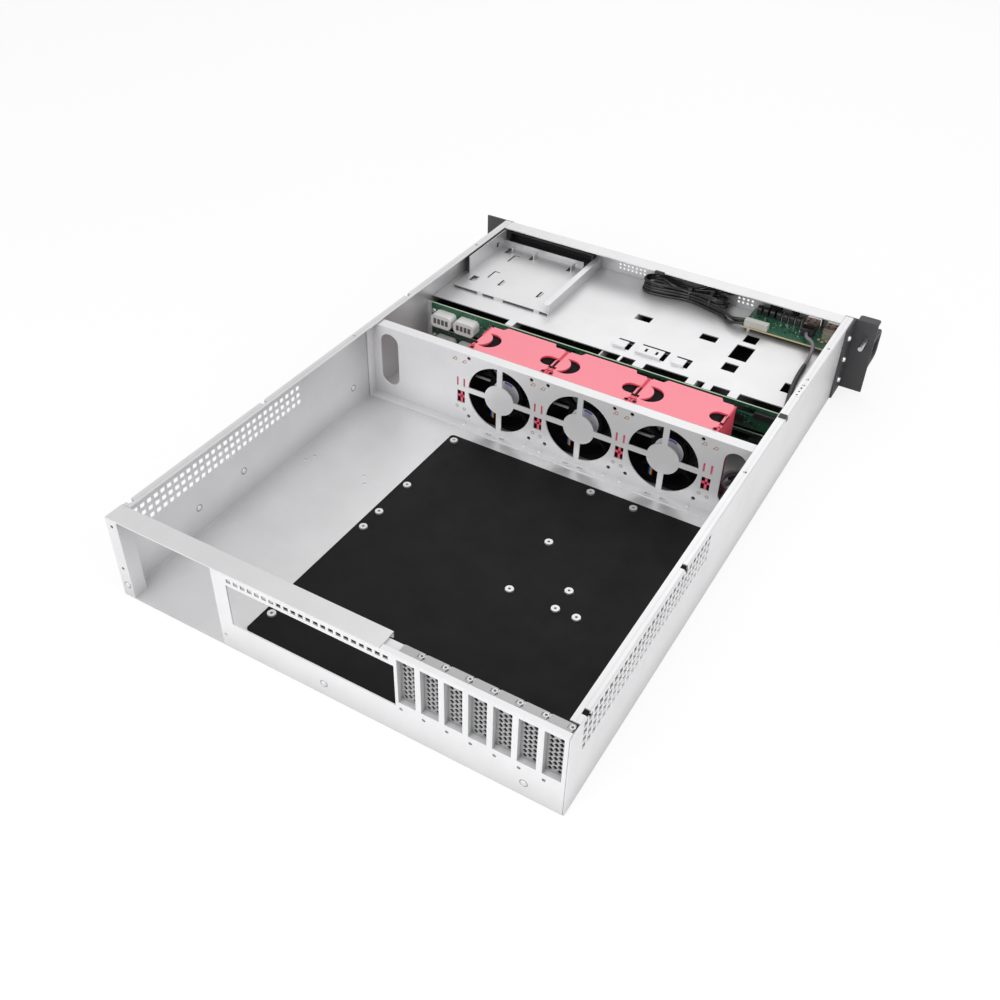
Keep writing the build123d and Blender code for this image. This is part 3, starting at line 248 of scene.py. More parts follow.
def carrier_plastic(name, colour, side_shade):
    """Pink nylon with painted shade: its upright faces are tinted a deeper colour than its flat
    top.
    """
    made = Finish(name, colour, 0.45)
    normal = made.node("ShaderNodeNewGeometry").outputs["Normal"]
    split = made.node("ShaderNodeSeparateXYZ", Vector=normal)
    # Painted shade: the less a face points up, the more it takes of the deeper colour
    made.tint(made.ranged(split.outputs["Z"], 0.9, 0.0, 0.1, 0.9), side_shade)
    made.relief(made.noise(1500.0), 0.00003, 0.2)
    made.give(Subsurface_Weight=0.1, Subsurface_Radius=(0.003, 0.001, 0.001))
    return made.material


def powder(name, colour):
    """Powder coat with a fine leathery grain."""
    made = Finish(name, colour)
    grain = made.noise(1100.0, 3.0)
    made.relief(grain, 0.00006, 0.35)
    made.shine(grain, 0.42, 0.58)
    made.mottle(60.0, 0.3, shade(colour, 1.25), low=0.3)
    return made.material


def bright_metal(name, colour, roughness=0.25):
    """Plated metal with small scratches."""
    made = Finish(name, colour, roughness, 1.0)
    made.shine(made.noise(300.0, 4.0), roughness - 0.05, roughness + 0.1)
    made.relief(made.noise(900.0), 0.00002, 0.15)
    return made.material


def board(name, colour, trace):
    """Solder mask with faint traces and small bright pads."""
    made = Finish(name, colour, 0.32)
    at_edge = {"feature": "DISTANCE_TO_EDGE", "Vector": made.place, "Scale": 330.0}
    cells = made.node("ShaderNodeTexVoronoi", **at_edge)
    lanes = made.ranged(cells.outputs["Distance"], 1.0, 0.0, 0.02, 0.06)
    made.tint(lanes, trace)
    dots = made.node("ShaderNodeTexVoronoi", Vector=made.place, Scale=240.0)
    made.tint(made.ranged(dots.outputs["Distance"], 0.8, 0.0, 0.1, 0.14), (0.45, 0.5, 0.42))
    made.relief(lanes, 0.00003, 0.3)
    made.give(Coat_Weight=0.3)
    return made.material


FINISHES = {}


def make_finishes(look):
    """Makes every finish once, from the sidebar's colours."""
    steel = tuple(look.steel)
    # Painted shade colour of the carriers' upright faces, also the own red colour of the latch
    # clips
    edge = tuple(look.carrier_shade_and_clips)
    dark = tuple(look.ear)
    FINISHES.update(
        steel=galvanised("galvanised_sheet", steel, (1.0, 24.0, 1.0)),
        steel_across=galvanised("galvanised_sheet_across", steel, (24.0, 1.0, 1.0), 0.3),
        cover_steel=galvanised("cover_sheet", shade(steel, 0.58), (1.0, 1.0, 24.0)),
        film=film("insulating_film", (0.0055, 0.0055, 0.0055)),
        carrier=carrier_plastic("carrier_nylon", tuple(look.carrier), edge),
        carrier_deep=moulded("carrier_clip_nylon", edge, 0.4),
        latch=moulded("latch_nylon", (0.95, 0.12, 0.2), 0.45),
        fan=matt("fan_frame_plastic", (0.0035, 0.0035, 0.004)),
        blade=moulded("fan_blade_plastic", (0.04, 0.038, 0.042), 0.3),
        # Grey that stands for a painted highlight on the black plastic of the fan bar
        strut=moulded("fan_strut", (0.32, 0.3, 0.3), 0.4),
        black=moulded("black_plastic", (0.016, 0.016, 0.017), 0.4),
        white=moulded("white_nylon", (0.78, 0.78, 0.76), 0.4),
        # White nylon given a greyer colour for the plug
        plug=moulded("aged_plug", (0.5, 0.49, 0.45), 0.45),
        label=moulded("blank_label", (0.72, 0.72, 0.78), 0.35),
        blue_ink=moulded("label_band", (0.2, 0.2, 0.62), 0.4),
        ear=powder("ear_coat", dark),
        handle=powder("handle_coat", shade(dark, 0.9)),
        tray=powder("tray_coat", (0.02, 0.02, 0.021)),
        screw=bright_metal("zinc_screw", (0.7, 0.7, 0.71)),
        rivet=bright_metal("rivet_metal", (0.85, 0.85, 0.86), 0.35),
        plating=bright_metal("socket_plating", (0.6, 0.47, 0.4), 0.32),
        pad=bright_metal("solder_pads", (0.8, 0.78, 0.7), 0.3),
        contact=bright_metal("tinned_contact", (0.62, 0.6, 0.58), 0.3),
        board=board("green_board", (0.012, 0.085, 0.045), (0.02, 0.13, 0.07)),
        board_low=board("shaded_board", (0.006, 0.03, 0.018), (0.012, 0.06, 0.035)),
        board_edge=moulded("board_edge", (0.5, 0.62, 0.45), 0.5),
        tan_edge=moulded("board_rim", (0.55, 0.42, 0.22), 0.5),
        seam=moulded("seam_shadow", (0.25, 0.25, 0.25), 0.6),
        mark=moulded("copper_mark", (0.5, 0.3, 0.2), 0.5),
        port_shadow=moulded("port_shadow", (0.12, 0.12, 0.12), 0.6),
        wire_blue=moulded("blue_jacket", (0.05, 0.08, 0.55), 0.35),
        wire_cyan=moulded("cyan_jacket", (0.03, 0.4, 0.6), 0.35),
        wire_yellow=moulded("yellow_jacket", (0.75, 0.6, 0.05), 0.35),
        wire_red=moulded("red_jacket", (0.55, 0.02, 0.02), 0.35),
        wire=moulded("black_jacket", (0.012, 0.012, 0.013), 0.2),
        lead=moulded("grey_jacket", (0.2, 0.18, 0.21), 0.4),
        sleeve=moulded("black_sleeve", (0.02, 0.019, 0.021), 0.35),
    )


# The finish of each CAD node, besides the carriers, fans, trays and levers
PAINTED = {
    "steel": (
        "base_pan",
        "rear_top_beam",
        "board_standoffs",
        "cage_deck",
        "bay_pan",
        "front_panel",
    ),
    "steel_across": (
        "fan_wall",
        "rear_panel",
        "cage_divider_1",
        "cage_divider_2",
        "cage_divider_3",
        "cage_rail_left",
        "cage_rail_right",
    ),
    "cover_steel": ("slot_covers",),
    "screw": ("slot_screws", "rack_screws"),
    "film": ("board_insulator",),
    "board": ("backplane_upper", "front_board"),
    "board_low": ("backplane_lower",),
    "white": ("power_sockets",),
    "plug": ("cable_plug",),
    "black": ("drive_sockets", "bay_blank", "front_switches", "power_button", "reset_button"),
    "ear": ("rack_ear_left", "rack_ear_right"),
    "handle": ("handle_left", "handle_right"),
    "plating": ("usb_sockets",),
    "wire": ("cable_hank",),
    "lead": ("front_lead", "lead_coil"),
}


def paint(finish, *nodes):
    """Gives CAD nodes a finish by their material slots."""
    for name in nodes:
        for material_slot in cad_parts[name].material_slots:
            material_slot.material = FINISHES[finish]


# Mesh making

SHARP_ANGLE = radians(35)


def add_object(name, data):
    """A new object in the scene."""
    made = bpy.data.objects.new(name, data)
    bpy.context.scene.collection.objects.link(made)
    return made


def mesh_object(name, mesh):
    """A new object of a finished bmesh."""
    data = bpy.data.meshes.new(name)
    mesh.to_mesh(data)
    mesh.free()
    return add_object(name, data)


def settle(piece, finish, body=CASE):
    """Gives a piece its finish, smooth faces and body."""
    piece.data.materials.clear()
    piece.data.materials.append(FINISHES[finish])
    if piece.type == "MESH":
        for face in piece.data.polygons:
            face.use_smooth = True
        piece.data.set_sharp_from_angle(angle=SHARP_ANGLE)
    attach(piece, body)
    return piece


def turned(way, rest=UP):
    """The turn that carries a resting direction to another way."""
    return Vector(rest).rotation_difference(Vector(way).normalized())


def arc(centre, reach, first, last, steps):
    """Points of an arc in a plane, by degrees, with one reach along each axis."""
    angles = [radians(first + (last - first) * i / steps) for i in range(steps + 1)]
    return [(centre[0] + reach[0] * cos(a), centre[1] + reach[1] * sin(a)) for a in angles]


class Shape:
    """A mesh under construction."""

    def __init__(self):
        self.mesh = bmesh.new()

    def block(self, low, high):
        """A box between two corners."""
        verts = bmesh.ops.create_cube(self.mesh, size=1.0)["verts"]
        size = [abs(b - a) for a, b in zip(low, high)]
        centre = [(a + b) / 2 for a, b in zip(low, high)]
        bmesh.ops.scale(self.mesh, vec=size, verts=verts)
        bmesh.ops.translate(self.mesh, vec=centre, verts=verts)
        return self

    def blocks(self, boxes):
        """A box for each pair of corners."""
        for low, high in boxes:
            self.block(low, high)
        return self

    def rod(self, foot, way, radius, length, sides):
        """A cylinder that rises from its foot."""
        size = {"segments": sides, "radius1": radius, "radius2": radius, "depth": length}
        verts = bmesh.ops.create_cone(self.mesh, cap_ends=True, **size)["verts"]
        bmesh.ops.translate(self.mesh, vec=(0, 0, length / 2), verts=verts)
        self.set_down(turned(way), foot, verts)
        return self

    def loft(self, loops, closed=False):
        """A skin over loops of points, with end caps, or closed from the last to the first."""
        rows = [[self.mesh.verts.new(point) for point in loop] for loop in loops]
        pairs = list(zip(rows, rows[1:]))
        if closed:
            pairs.append((rows[-1], rows[0]))
        else:
            self.mesh.faces.new(rows[0][::-1])
            self.mesh.faces.new(rows[-1])
        for a, b in pairs:
            for i in range(len(a)):
                j = (i + 1) % len(a)
                self.mesh.faces.new((a[i], a[j], b[j], b[i]))
        return self

    def ring(self, foot, way, outer, inner, length, sides, square=False):
        """A flat ring with a round hole; its outer edge is a circle or a square."""
        turn = turned(way).to_matrix()
        loops = []
        for radius, rise in ((outer, 0), (outer, length), (inner, length), (inner, 0)):
            loop = []
            for i in range(sides):
                angle = 2 * pi * i / sides
                reach = radius
                if square and radius == outer:
                    reach = radius / max(abs(cos(angle)), abs(sin(angle)))
                point = Vector((reach * cos(angle), reach * sin(angle), rise))
                loop.append(turn @ point + Vector(foot))
            loops.append(loop)
        return self.loft(loops, closed=True)

    def plate(self, outline, low, high, axis):
        """A flat plate of an outline, between two levels of one axis."""
        levels = (low, high)
        return self.loft([[(*p[:axis], level, *p[axis:]) for p in outline] for level in levels])

    def set_down(self, turn, place, verts=None):
        """Turns and then moves some points, or the whole shape."""
        verts = verts or self.mesh.verts
        bmesh.ops.rotate(self.mesh, cent=(0, 0, 0), matrix=turn.to_matrix(), verts=verts)
        bmesh.ops.translate(self.mesh, vec=place, verts=verts)

    def done(self, name, finish, slot, body=CASE, bevel=0.0):
        """Turns the shape into a piece that rides on a body."""
        for vertex in self.mesh.verts:
            vertex.co = at(*vertex.co)
        bmesh.ops.recalc_face_normals(self.mesh, faces=self.mesh.faces)
        piece = mesh_object(name, self.mesh)
        if bevel:
            soften = piece.modifiers.new("edge", "BEVEL")
            soften.width = bevel * MM
            soften.segments = 2
            soften.limit_method = "ANGLE"
            soften.harden_normals = True
        return settle(piece, finish, body)


# Repeated pieces


def repeat_tree(name, sizes, shape):
    """A tree that sets one small shape on every point, turned and with a material."""
    made = Tree(bpy.data.node_groups.new(name, "GeometryNodeTree"))
    sockets = made.tree.interface
    sockets.new_socket("Geometry", in_out="INPUT", socket_type="NodeSocketGeometry")
    for label, value in {**sizes, "Turn": (0, 0, 0)}.items():
        kind = "NodeSocketVector" if isinstance(value, tuple) else "NodeSocketFloat"
        sockets.new_socket(label, in_out="INPUT", socket_type=kind).default_value = value
    sockets.new_socket("Material", in_out="INPUT", socket_type="NodeSocketMaterial")
    sockets.new_socket("Geometry", in_out="OUTPUT", socket_type="NodeSocketGeometry")
    given = made.node("NodeGroupInput").outputs
    spread = made.node(
        "GeometryNodeInstanceOnPoints",
        Points=given["Geometry"],
        Instance=shape(made, given),
        Rotation=given["Turn"],
    )
    real = made.node("GeometryNodeRealizeInstances", Geometry=spread.outputs["Instances"])
    whole = real.outputs["Geometry"]
    painted = made.node("GeometryNodeSetMaterial", Geometry=whole, Material=given["Material"])
    made.node("NodeGroupOutput", Geometry=painted.outputs["Geometry"])
    return made.tree


def head_shape(tree, given):
    """A round screw or rivet head: a low drum, narrower at its crown."""
    crown = tree.maths("MULTIPLY", given["Radius"], given["Crown"])
    sizes = {"Radius_Bottom": given["Radius"], "Radius_Top": crown, "Depth": given["Height"]}
    return tree.node("GeometryNodeMeshCone", Vertices=20, **sizes).outputs["Mesh"]


def bit_shape(tree, given):
    """A small block, such as a chip, a pin or a slot."""
    return tree.node("GeometryNodeMeshCube", Size=given["Size"]).outputs["Mesh"]


TREE_PARTS = {
    "round_heads": ({"Radius": 0.0025, "Height": 0.001, "Crown": 0.7}, head_shape),
    "small_blocks": ({"Size": (0.002, 0.002, 0.002)}, bit_shape),
}


def repeat(name, kind, points, values, finish):
    """Sets one small shape on many points and keeps the result as a plain mesh."""
    tree = bpy.data.node_groups.get(kind) or repeat_tree(kind, *TREE_PARTS[kind])
    data = bpy.data.meshes.new(name)
    data.from_pydata([at(*point) for point in points], [], [])
    maker = add_object(name, data)
    nodes = maker.modifiers.new("repeat", "NODES")
    nodes.node_group = tree
    values["Material"] = FINISHES[finish]
    for item in tree.interface.items_tree:
        if item.in_out == "INPUT" and item.name in values:
            nodes[item.identifier] = values[item.name]
    graph = bpy.context.evaluated_depsgraph_get()
    data = bpy.data.meshes.new_from_object(maker.evaluated_get(graph), depsgraph=graph)
    bpy.data.objects.remove(maker)
    return settle(add_object(name, data), finish)


def heads(name, points, way, radius, height, finish, crown=0.7):
    """Round heads that face one way; the crown is the top's share of the radius."""
    turn = tuple(turned(way).to_euler())
    values = {"Radius": radius * MM, "Height": height * MM, "Crown": crown, "Turn": turn}
    return repeat(name, "round_heads", points, values, finish)


def bits(name, points, size, finish):
    """Small blocks of one size."""
    values = {"Size": [length * MM for length in size]}
    return repeat(name, "small_blocks", points, values, finish)


# Cords


def rope(name, route, radius, finish):
    """A cord: a smooth NURBS curve whose control points are its route."""
    data = bpy.data.curves.new(name, "CURVE")
    data.dimensions = "3D"
    data.bevel_depth = radius * MM
    data.bevel_resolution = 3
    data.resolution_u = 6
    data.use_fill_caps = True
    spline = data.splines.new("NURBS")
    spline.points.add(len(route) - 1)
    for control, point in zip(spline.points, route):
        control.co = (*at(*point), 1.0)
    spline.order_u = 3
    spline.use_endpoint_u = True
    return settle(add_object(name, data), finish)


def line_of(piece):
    """The places that a cord follows, from its own curve taken without its thickness."""
    bare = add_object(piece.name + "_line", piece.data.copy())
    bare.data.bevel_depth = 0.0
    graph = bpy.context.evaluated_depsgraph_get()
    mesh = bpy.data.meshes.new_from_object(bare.evaluated_get(graph), depsgraph=graph)
    line = [place_of(vertex.co) for vertex in mesh.vertices]
    bpy.data.objects.remove(bare)
    bpy.data.meshes.remove(mesh)
    return line


def tube(line, radius, sides=14, neck=0.8):
    """Loops of a tube round a line, drawn in at both ends."""
    side = Vector(UP)
    loops = []
    for i, point in enumerate(line):
        ahead = (line[min(i + 1, len(line) - 1)] - line[max(i - 1, 0)]).normalized()
        side = (side - ahead * side.dot(ahead)).normalized()
        other = ahead.cross(side)
        wide = radius * (neck if i in (0, len(line) - 1) else 1.0)
        circle = [2 * pi * k / sides for k in range(sides)]
        loops.append([point + (side * cos(a) + other * sin(a)) * wide for a in circle])
    return loops


def end_plug(name, boxes, along, ahead, end, bevel):
    """A plug of boxes made along one axis, turned the way a cord's end points and set on it."""
    plug = Shape().blocks(boxes)
    plug.set_down(turned(ahead, rest=along), end)
    return plug.done(name, "black", "black_plastic", bevel=bevel)


# The lead from the front board to the floor beside the carriers; a sleeve covers part of it
LEAD_DIAMETER = 3.6
LEAD_ROUTE = (
    (-176.0, 32.0, 73.0),
    (-177.5, 43.0, 75.0),
    (-188.0, 47.5, 74.5),
    (-192.0, 60.0, 70.5),
    (-192.5, 80.0, 66.8),
    (-192.5, 108.0, 65.4),
    (-196.0, 138.0, 65.4),
    (-201.0, 164.0, 67.0),
    (-204.5, 186.0, 64.5),
    (-207.0, 202.0, 52.0),
    (-208.5, 211.0, 38.0),
    (-209.4, 218.5, 26.0),
    (-209.6, 226.5, 17.5),
)
SLEEVE_START, SLEEVE_END = LEAD_ROUTE[4][1], LEAD_ROUTE[8][1]
SLEEVE_LOWEST = 60.0
SLEEVE_RADIUS = 2.5
LEAD_PLUG = (((-3.2, -1.0, -1.9), (3.2, 9.0, 3.0)), ((-1.2, 9.0, -0.4), (1.2, 10.0, 2.2)))
COIL_MIDDLE = (-190.5, 233.0)
COIL_RADIUS = 20.0
COIL_TURNS = 2.5
COIL_FIRST_ANGLE = 150
COIL_STEP = 30
COIL_HIGH = 12.6
COIL_LOW = 3.0
COIL_PITCH = LEAD_DIAMETER * 1.03
COIL_DRAWN_IN = 1.6


def coil_route():
    """Points round the coil, clockwise and down to the floor; the last three draw inward."""
    count = round(COIL_TURNS * 360 / COIL_STEP)
    points = []
    for i in range(count + 1):
        angle = radians(COIL_FIRST_ANGLE - i * COIL_STEP)
        inward = max(0, i - count + 3) * COIL_DRAWN_IN
        reach = (COIL_RADIUS - inward) / cos(radians(COIL_STEP / 2))
        x = COIL_MIDDLE[0] + reach * cos(angle)
        y = COIL_MIDDLE[1] + reach * sin(angle)
        points.append((x, y, max(COIL_LOW, COIL_HIGH - COIL_PITCH * i * COIL_STEP / 360)))
    return points


# The tied hank. Each loop has a level, the place across and the height at which its near and
# far run cross the tie, the X of its left and right ends, and the lean of its near side
Loop = namedtuple("Loop", "level near far left right lean")
# Each cable has its way from the plug, two loops, a loose end, the number of points of the
# second loop that this end leaves out, and a length in metres
Cable = namedtuple("Cable", "name way first second loose left_out length")
HANK_DIAMETER = 3.4
HANK_MIDDLE = 17.0
HANK_TURN = 10.9
HANK_TIE = -37.0
TIE_STRAIGHT = 7.0
TIE_EASE = 0.6
HANK_PLUG = (((-0.5, -2.6, -2.2), (8.0, 2.6, 2.4)), ((8.0, -1.8, -1.4), (9.0, 1.8, 1.6)))
HANK_CABLES = (
    Cable(
        "outer",
        (
            (-111.0, 44.6, 71.2),
            (-103.0, 45.6, 70.0),
            (-95.0, 45.0, 67.2),
            (-88.5, 39.5, 65.8),
            (-84.5, 33.0, 65.6),
        ),
        Loop(65.2, (3.5, 65.0), (-3.5, 65.0), 9.0, -71.0, 0.4),
        Loop(73.9, (3.5, 71.9), (-3.5, 71.9), 6.5, -72.5, 1.6),
        ((-44.0, 10.5, 76.5), (-53.0, 7.0, 79.6)),
        2,
        0.45,
    ),
    Cable(
        "inner",
        (
            (-111.0, 40.6, 71.2),
            (-104.5, 41.3, 70.6),
            (-98.5, 40.5, 69.4),
            (-93.0, 36.5, 69.0),
            (-87.0, 32.0, 69.0),
        ),
        Loop(68.4, (0.0, 65.2), (-3.5, 68.5), 5.0, -69.0, -1.4),
        Loop(76.8, (0.0, 72.0), (-3.5, 75.5), 8.0, -68.0, -0.8),
        ((-66.0, 7.0, 79.0), (-75.0, 6.5, 80.2)),
        1,
        0.465,
    ),
    Cable(
        "upper",
        (
            (-111.0, 42.6, 74.5),
            (-103.5, 43.6, 73.9),
            (-96.5, 43.2, 72.4),
            (-90.0, 39.0, 71.8),
            (-83.5, 32.0, 72.6),
        ),
        Loop(71.0, (3.5, 68.5), (0.0, 68.5), 7.5, -66.0, 2.2),
        Loop(79.7, (3.5, 75.5), (0.0, 75.5), 3.0, -70.5, 0.6),
        ((-6.0, 21.0, 81.0), (4.0, 14.0, 82.5), (10.0, 8.0, 83.0)),
        13,
        0.37,
    ),
)
# Each tie of the hank: its X, lowest and highest point, and half its extent across
HANK_TIES = ((HANK_TIE, 63.4, 78.4, 6.4), (-63.0, 63.6, 81.8, 10.6))
TIE_HALF_WIDTH = 1.2
TIE_OUTER_SCALE = 1.12


def hank_loop(loop):
    """One loop of the hank, from the near run at the right end round to the far one."""

    def spot(x, across):
        return (x, HANK_MIDDLE + across, loop.level - loop.lean * across / HANK_TURN)

    near_y = HANK_MIDDLE + loop.near[0] + TIE_EASE
    far_y = HANK_MIDDLE + loop.far[0] - TIE_EASE
    return [
        spot(loop.right, HANK_TURN),
        spot(-56.0, 7.6),
        (HANK_TIE - TIE_STRAIGHT, near_y, loop.near[1]),
        (HANK_TIE + TIE_STRAIGHT, near_y, loop.near[1]),
        spot(-18.0, 7.4),
        spot(-4.0, 10.2),
        *(spot(*point) for point in arc((loop.left, 0), (HANK_TURN, HANK_TURN), 90, -90, 6)),
        spot(-4.0, -10.2),
        spot(-18.0, -7.6),
        (HANK_TIE + TIE_STRAIGHT, far_y, loop.far[1]),
        (HANK_TIE - TIE_STRAIGHT, far_y, loop.far[1]),
        spot(-56.0, -7.8),
    ]


def hank_fold(first, second):
    """The fold at the right end, which climbs to the level of the loop that follows."""
    centre = ((first.right + second.right) / 2, 0)
    points = []
    for i, (x, across) in enumerate(arc(centre, (-HANK_TURN, HANK_TURN), -90, 60, 5)):
        climbed = i / 6
        rise = (second.level - first.level) * climbed
        lean = first.lean * across / HANK_TURN * (1 - climbed)
        points.append((x, HANK_MIDDLE + across, first.level + rise - lean))
    return points


def hank_tie(number, x, low, high, half):
    """A tie round the bundle, with its lock."""
    centre = (HANK_MIDDLE, (low + high) / 2)
    loops = []
    for side, scale in ((-1, 1.0), (1, 1.0), (1, TIE_OUTER_SCALE), (-1, TIE_OUTER_SCALE)):
        rim = arc(centre, (half * scale, (high - low) / 2 * scale), 0, 345, 23)
        loops.append([(x + side * TIE_HALF_WIDTH, y, z) for y, z in rim])
    tie = Shape().loft(loops, closed=True)
    tie.block((x - 2.2, HANK_MIDDLE + 1.0, high - 0.2), (x + 2.2, HANK_MIDDLE + 5.0, high + 2.6))
    tie.done(f"hank_tie_{number}", "black", "black_plastic")


# Sidebar values


def colour_value(name, description, default):
    """A colour in the sidebar."""
    return FloatVectorProperty(
        name=name, description=description, subtype="COLOR", default=default, min=0, max=1
    )


class ServerCaseFinish(bpy.types.PropertyGroup):
    """Colours of the case."""

    steel: colour_value(
        "Sheet steel", "Base colour of the zinc-coated sheet", (0.84, 0.84, 0.85)
    )
    carrier: colour_value(
        "Fan carrier", "Colour of the fan carriers' top plates", (0.95, 0.265, 0.325)
    )
    # Painted shade on the carriers' upright faces, and the own red colour of their latch clips
    carrier_shade_and_clips: colour_value(
        "Carrier side", "Deeper colour of the carriers' upright faces", (0.8, 0.07, 0.12)
    )
    ear: colour_value("Rack ear", "Colour of the powder-coated ears", (0.05, 0.05, 0.053))


class ServerCaseStage(bpy.types.PropertyGroup):
    """Camera and light of the studio."""

    lens: FloatProperty(
        name="Lens", description="Focal length in millimetres", default=39.319, min=10
    )
    key_power: FloatProperty(
        name="Key light", description="Power of the main soft box", default=17.0, subtype="POWER"
    )
    fill_power: FloatProperty(
        name="Fill light", description="Power of the side soft box", default=7.5, subtype="POWER"
    )
    sky: FloatProperty(name="Sky", description="Strength of the room's even light", default=0.66)


class ServerCaseSizes(bpy.types.PropertyGroup):
    """Sizes of the small parts."""

    screw_radius: FloatProperty(
        name="Screw head", description="Head radius", default=2.6 * MM, unit="LENGTH"
    )
    rivet_radius: FloatProperty(
        name="Rivet head", description="Head radius", default=3.4 * MM, unit="LENGTH"
    )
    chip_seed: IntProperty(
        name="Chip seed", description="Order of the small chips on the boards", default=4
    )


# The studio

CAMERA_PLACE = (-393.64, 1074.62, 677.06)
CAMERA_FORWARD = (0.37644, -0.66867, -0.64122)
CAMERA_RIGHT = (-0.86175, -0.50683, 0.02262)
SENSOR_WIDTH = 36.0
CLIP_START = 0.01
FLOOR_RADIUS = 6.0
FLOOR_GLOW = 0.8
FLOOR_GLOW_STRENGTH = 1.02
# Half of the floor under the case that doesn't glow, in metres
SHADED_HALF = {"X": 0.212, "Y": 0.322}


def add_camera(scene, lens):
    """The camera at the photograph's angle."""
    data = bpy.data.cameras.new("photo_camera")
    data.lens = lens
    data.sensor_width = SENSOR_WIDTH
    data.clip_start = CLIP_START
    camera = add_object("photo_camera", data)
    forward = Vector(CAMERA_FORWARD).normalized()
    right = Vector(CAMERA_RIGHT).normalized()
    turn = Matrix((right, right.cross(forward), -forward)).transposed().to_4x4()
    camera.matrix_world = Matrix.Translation(at(*CAMERA_PLACE)) @ turn
    scene.camera = camera


def add_room(scene, sky):
    """An even light that looks white to the camera."""
    world = bpy.data.worlds.new("studio")
    world.use_nodes = True
    scene.world = world
    room = Tree(world.node_tree)
    ray = room.node("ShaderNodeLightPath").outputs
    seen = room.maths("MAXIMUM", ray["Is Camera Ray"], ray["Is Transmission Ray"])
    background = room.tree.nodes["Background"]
    room.fill(background, Color=(1, 1, 1, 1), Strength=room.ranged(seen, sky, 1.0))


def floor_material():
    """White that glows for the camera, but not under the case, whose holes show shadow."""
    pale = Finish("floor_white", (0.93, 0.93, 0.93), 0.9)
    split = pale.node("ShaderNodeSeparateXYZ", Vector=pale.place)
    outside = [
        pale.maths("GREATER_THAN", pale.maths("ABSOLUTE", split.outputs[axis]), half)
        for axis, half in SHADED_HALF.items()
    ]
    glowing = pale.maths("MULTIPLY", pale.maths("MAXIMUM", *outside), FLOOR_GLOW)
    ray = pale.node("ShaderNodeLightPath").outputs
    share = pale.maths("MULTIPLY", ray["Is Camera Ray"], glowing)
    glow = pale.node("ShaderNodeEmission", Strength=FLOOR_GLOW_STRENGTH)
    mix = pale.node("ShaderNodeMixShader", Fac=share)
    pale.link(pale.shader.outputs["BSDF"], mix.inputs[1])
    pale.link(glow.outputs["Emission"], mix.inputs[2])
    pale.fill(pale.tree.nodes["Material Output"], Surface=mix.outputs["Shader"])
    return pale.material


def add_floor():
    """A round pale floor."""
    disc = bmesh.new()
    bmesh.ops.create_circle(disc, cap_ends=True, segments=64, radius=FLOOR_RADIUS)
    floor = mesh_object("floor", disc)
    floor.data.materials.append(floor_material())


def add_soft_box(name, place, size, power):
    """A square light that faces the case; its place and size are in metres."""
    data = bpy.data.lights.new(name, "AREA")
    data.shape = "SQUARE"
    data.size = size
    data.energy = power
    light = add_object(name, data)
    light.location = place
    light.rotation_euler = (-Vector(place)).to_track_quat("-Z", "Y").to_euler()


# Sheet metal

EAR_FACE = 217.0
EAR_RIVET_Y = 12.0
EAR_RIVET_Z = (18.0, 44.0, 70.0)
# Y and Z of the pressed buttons in each side wall, X and Z of those in the rear panel
WALL_BUTTONS = {
    "left": ((491.0, 29.6), (552.5, 28.0), (318.0, 25.0)),
    "right": ((215.0, 25.0), (550.0, 28.0), (482.0, 30.0)),
}
REAR_BUTTONS = ((-181.0, 15.0), (-1.0, 14.0), (208.5, 14.0))
BUTTON_RING_LIFT = 0.05
FLANGE_SCREW_X = 212.3
FLANGE_SCREW_Y = 274.0
FLANGE_SCREW_Z = (22.0, 77.0)
# The lip along each rim stops at the notches for the lid
LIP_X = 210.1
LIP_WIDTH = 0.7
LIP_RUNS = ((2.0, 211.0), (219.0, 450.0), (458.0, 620.0), (628.0, 634.0))
RIM_BRACKET = (
    ((-213.6, 164.0, 86.2), (-206.4, 176.0, 88.4)),
    ((-207.0, 166.0, 80.0), (-206.2, 174.0, 86.2)),
)
# Black discs on the rim, painted shade in its holes
RIM_HOLE_SHADES = [(-210.0, y, 88.4) for y in (160.0, 167.0, 173.5)]
LID_CLIPS = (
    ((-214.2, 211.6, 85.4), (-206.8, 218.4, 88.9)),
    ((-212.6, 213.0, 84.0), (-205.2, 217.0, 87.6)),
    ((-3.0, 17.2, 85.6), (8.0, 20.4, 88.6)),
)
# X, Y and width of the windows under the deck's pressed tabs, whose dark ends are painted shade
DECK_WINDOWS = ((-23.2, 137.0, 18.2), (-63.4, 134.8, 31.6), (-89.5, 137.3, 17.4))
DECK_TOP = 63.0


def pressed_buttons(name, shade_rings_name, spots, way, lift):
    """Pressed buttons of a sheet, each in a dark ring of painted shade round its edge."""
    heads(name, spots, way, 3.0, 0.9, "steel", crown=0.6)
    # Painted shade: a thin grey ring round each button
    rings = Shape()
    for spot in spots:
        rings.ring(Vector(spot) + Vector(way) * lift, way, 3.6, 2.9, MARK_THICKNESS, 24)
    rings.done(shade_rings_name, "seam", "case_steel")


def slot_screw_recesses():
    """Painted shade: dark discs in the recesses of the seven slot screw heads."""
    x, y, _ = middle("slot_screws")
    top = extent("slot_screws")[1][2]
    spots = [(x + SLOT_PITCH * (i - 3), y, top) for i in range(7)]
    heads("slot_screw_recesses", spots, UP, 1.1, MARK_THICKNESS, "port_shadow")


def rim_lip(name, side):
    """Folded lip along a rim, where the lid slides in."""
    low = side * LIP_X - LIP_WIDTH / 2
    lip = Shape()
    for start, end in LIP_RUNS:
        lip.block((low, start, BODY_TOP - 0.1), (low + LIP_WIDTH, end, BODY_TOP + 0.22))
    lip.done(f"rim_lip_{name}", "steel", "case_steel")


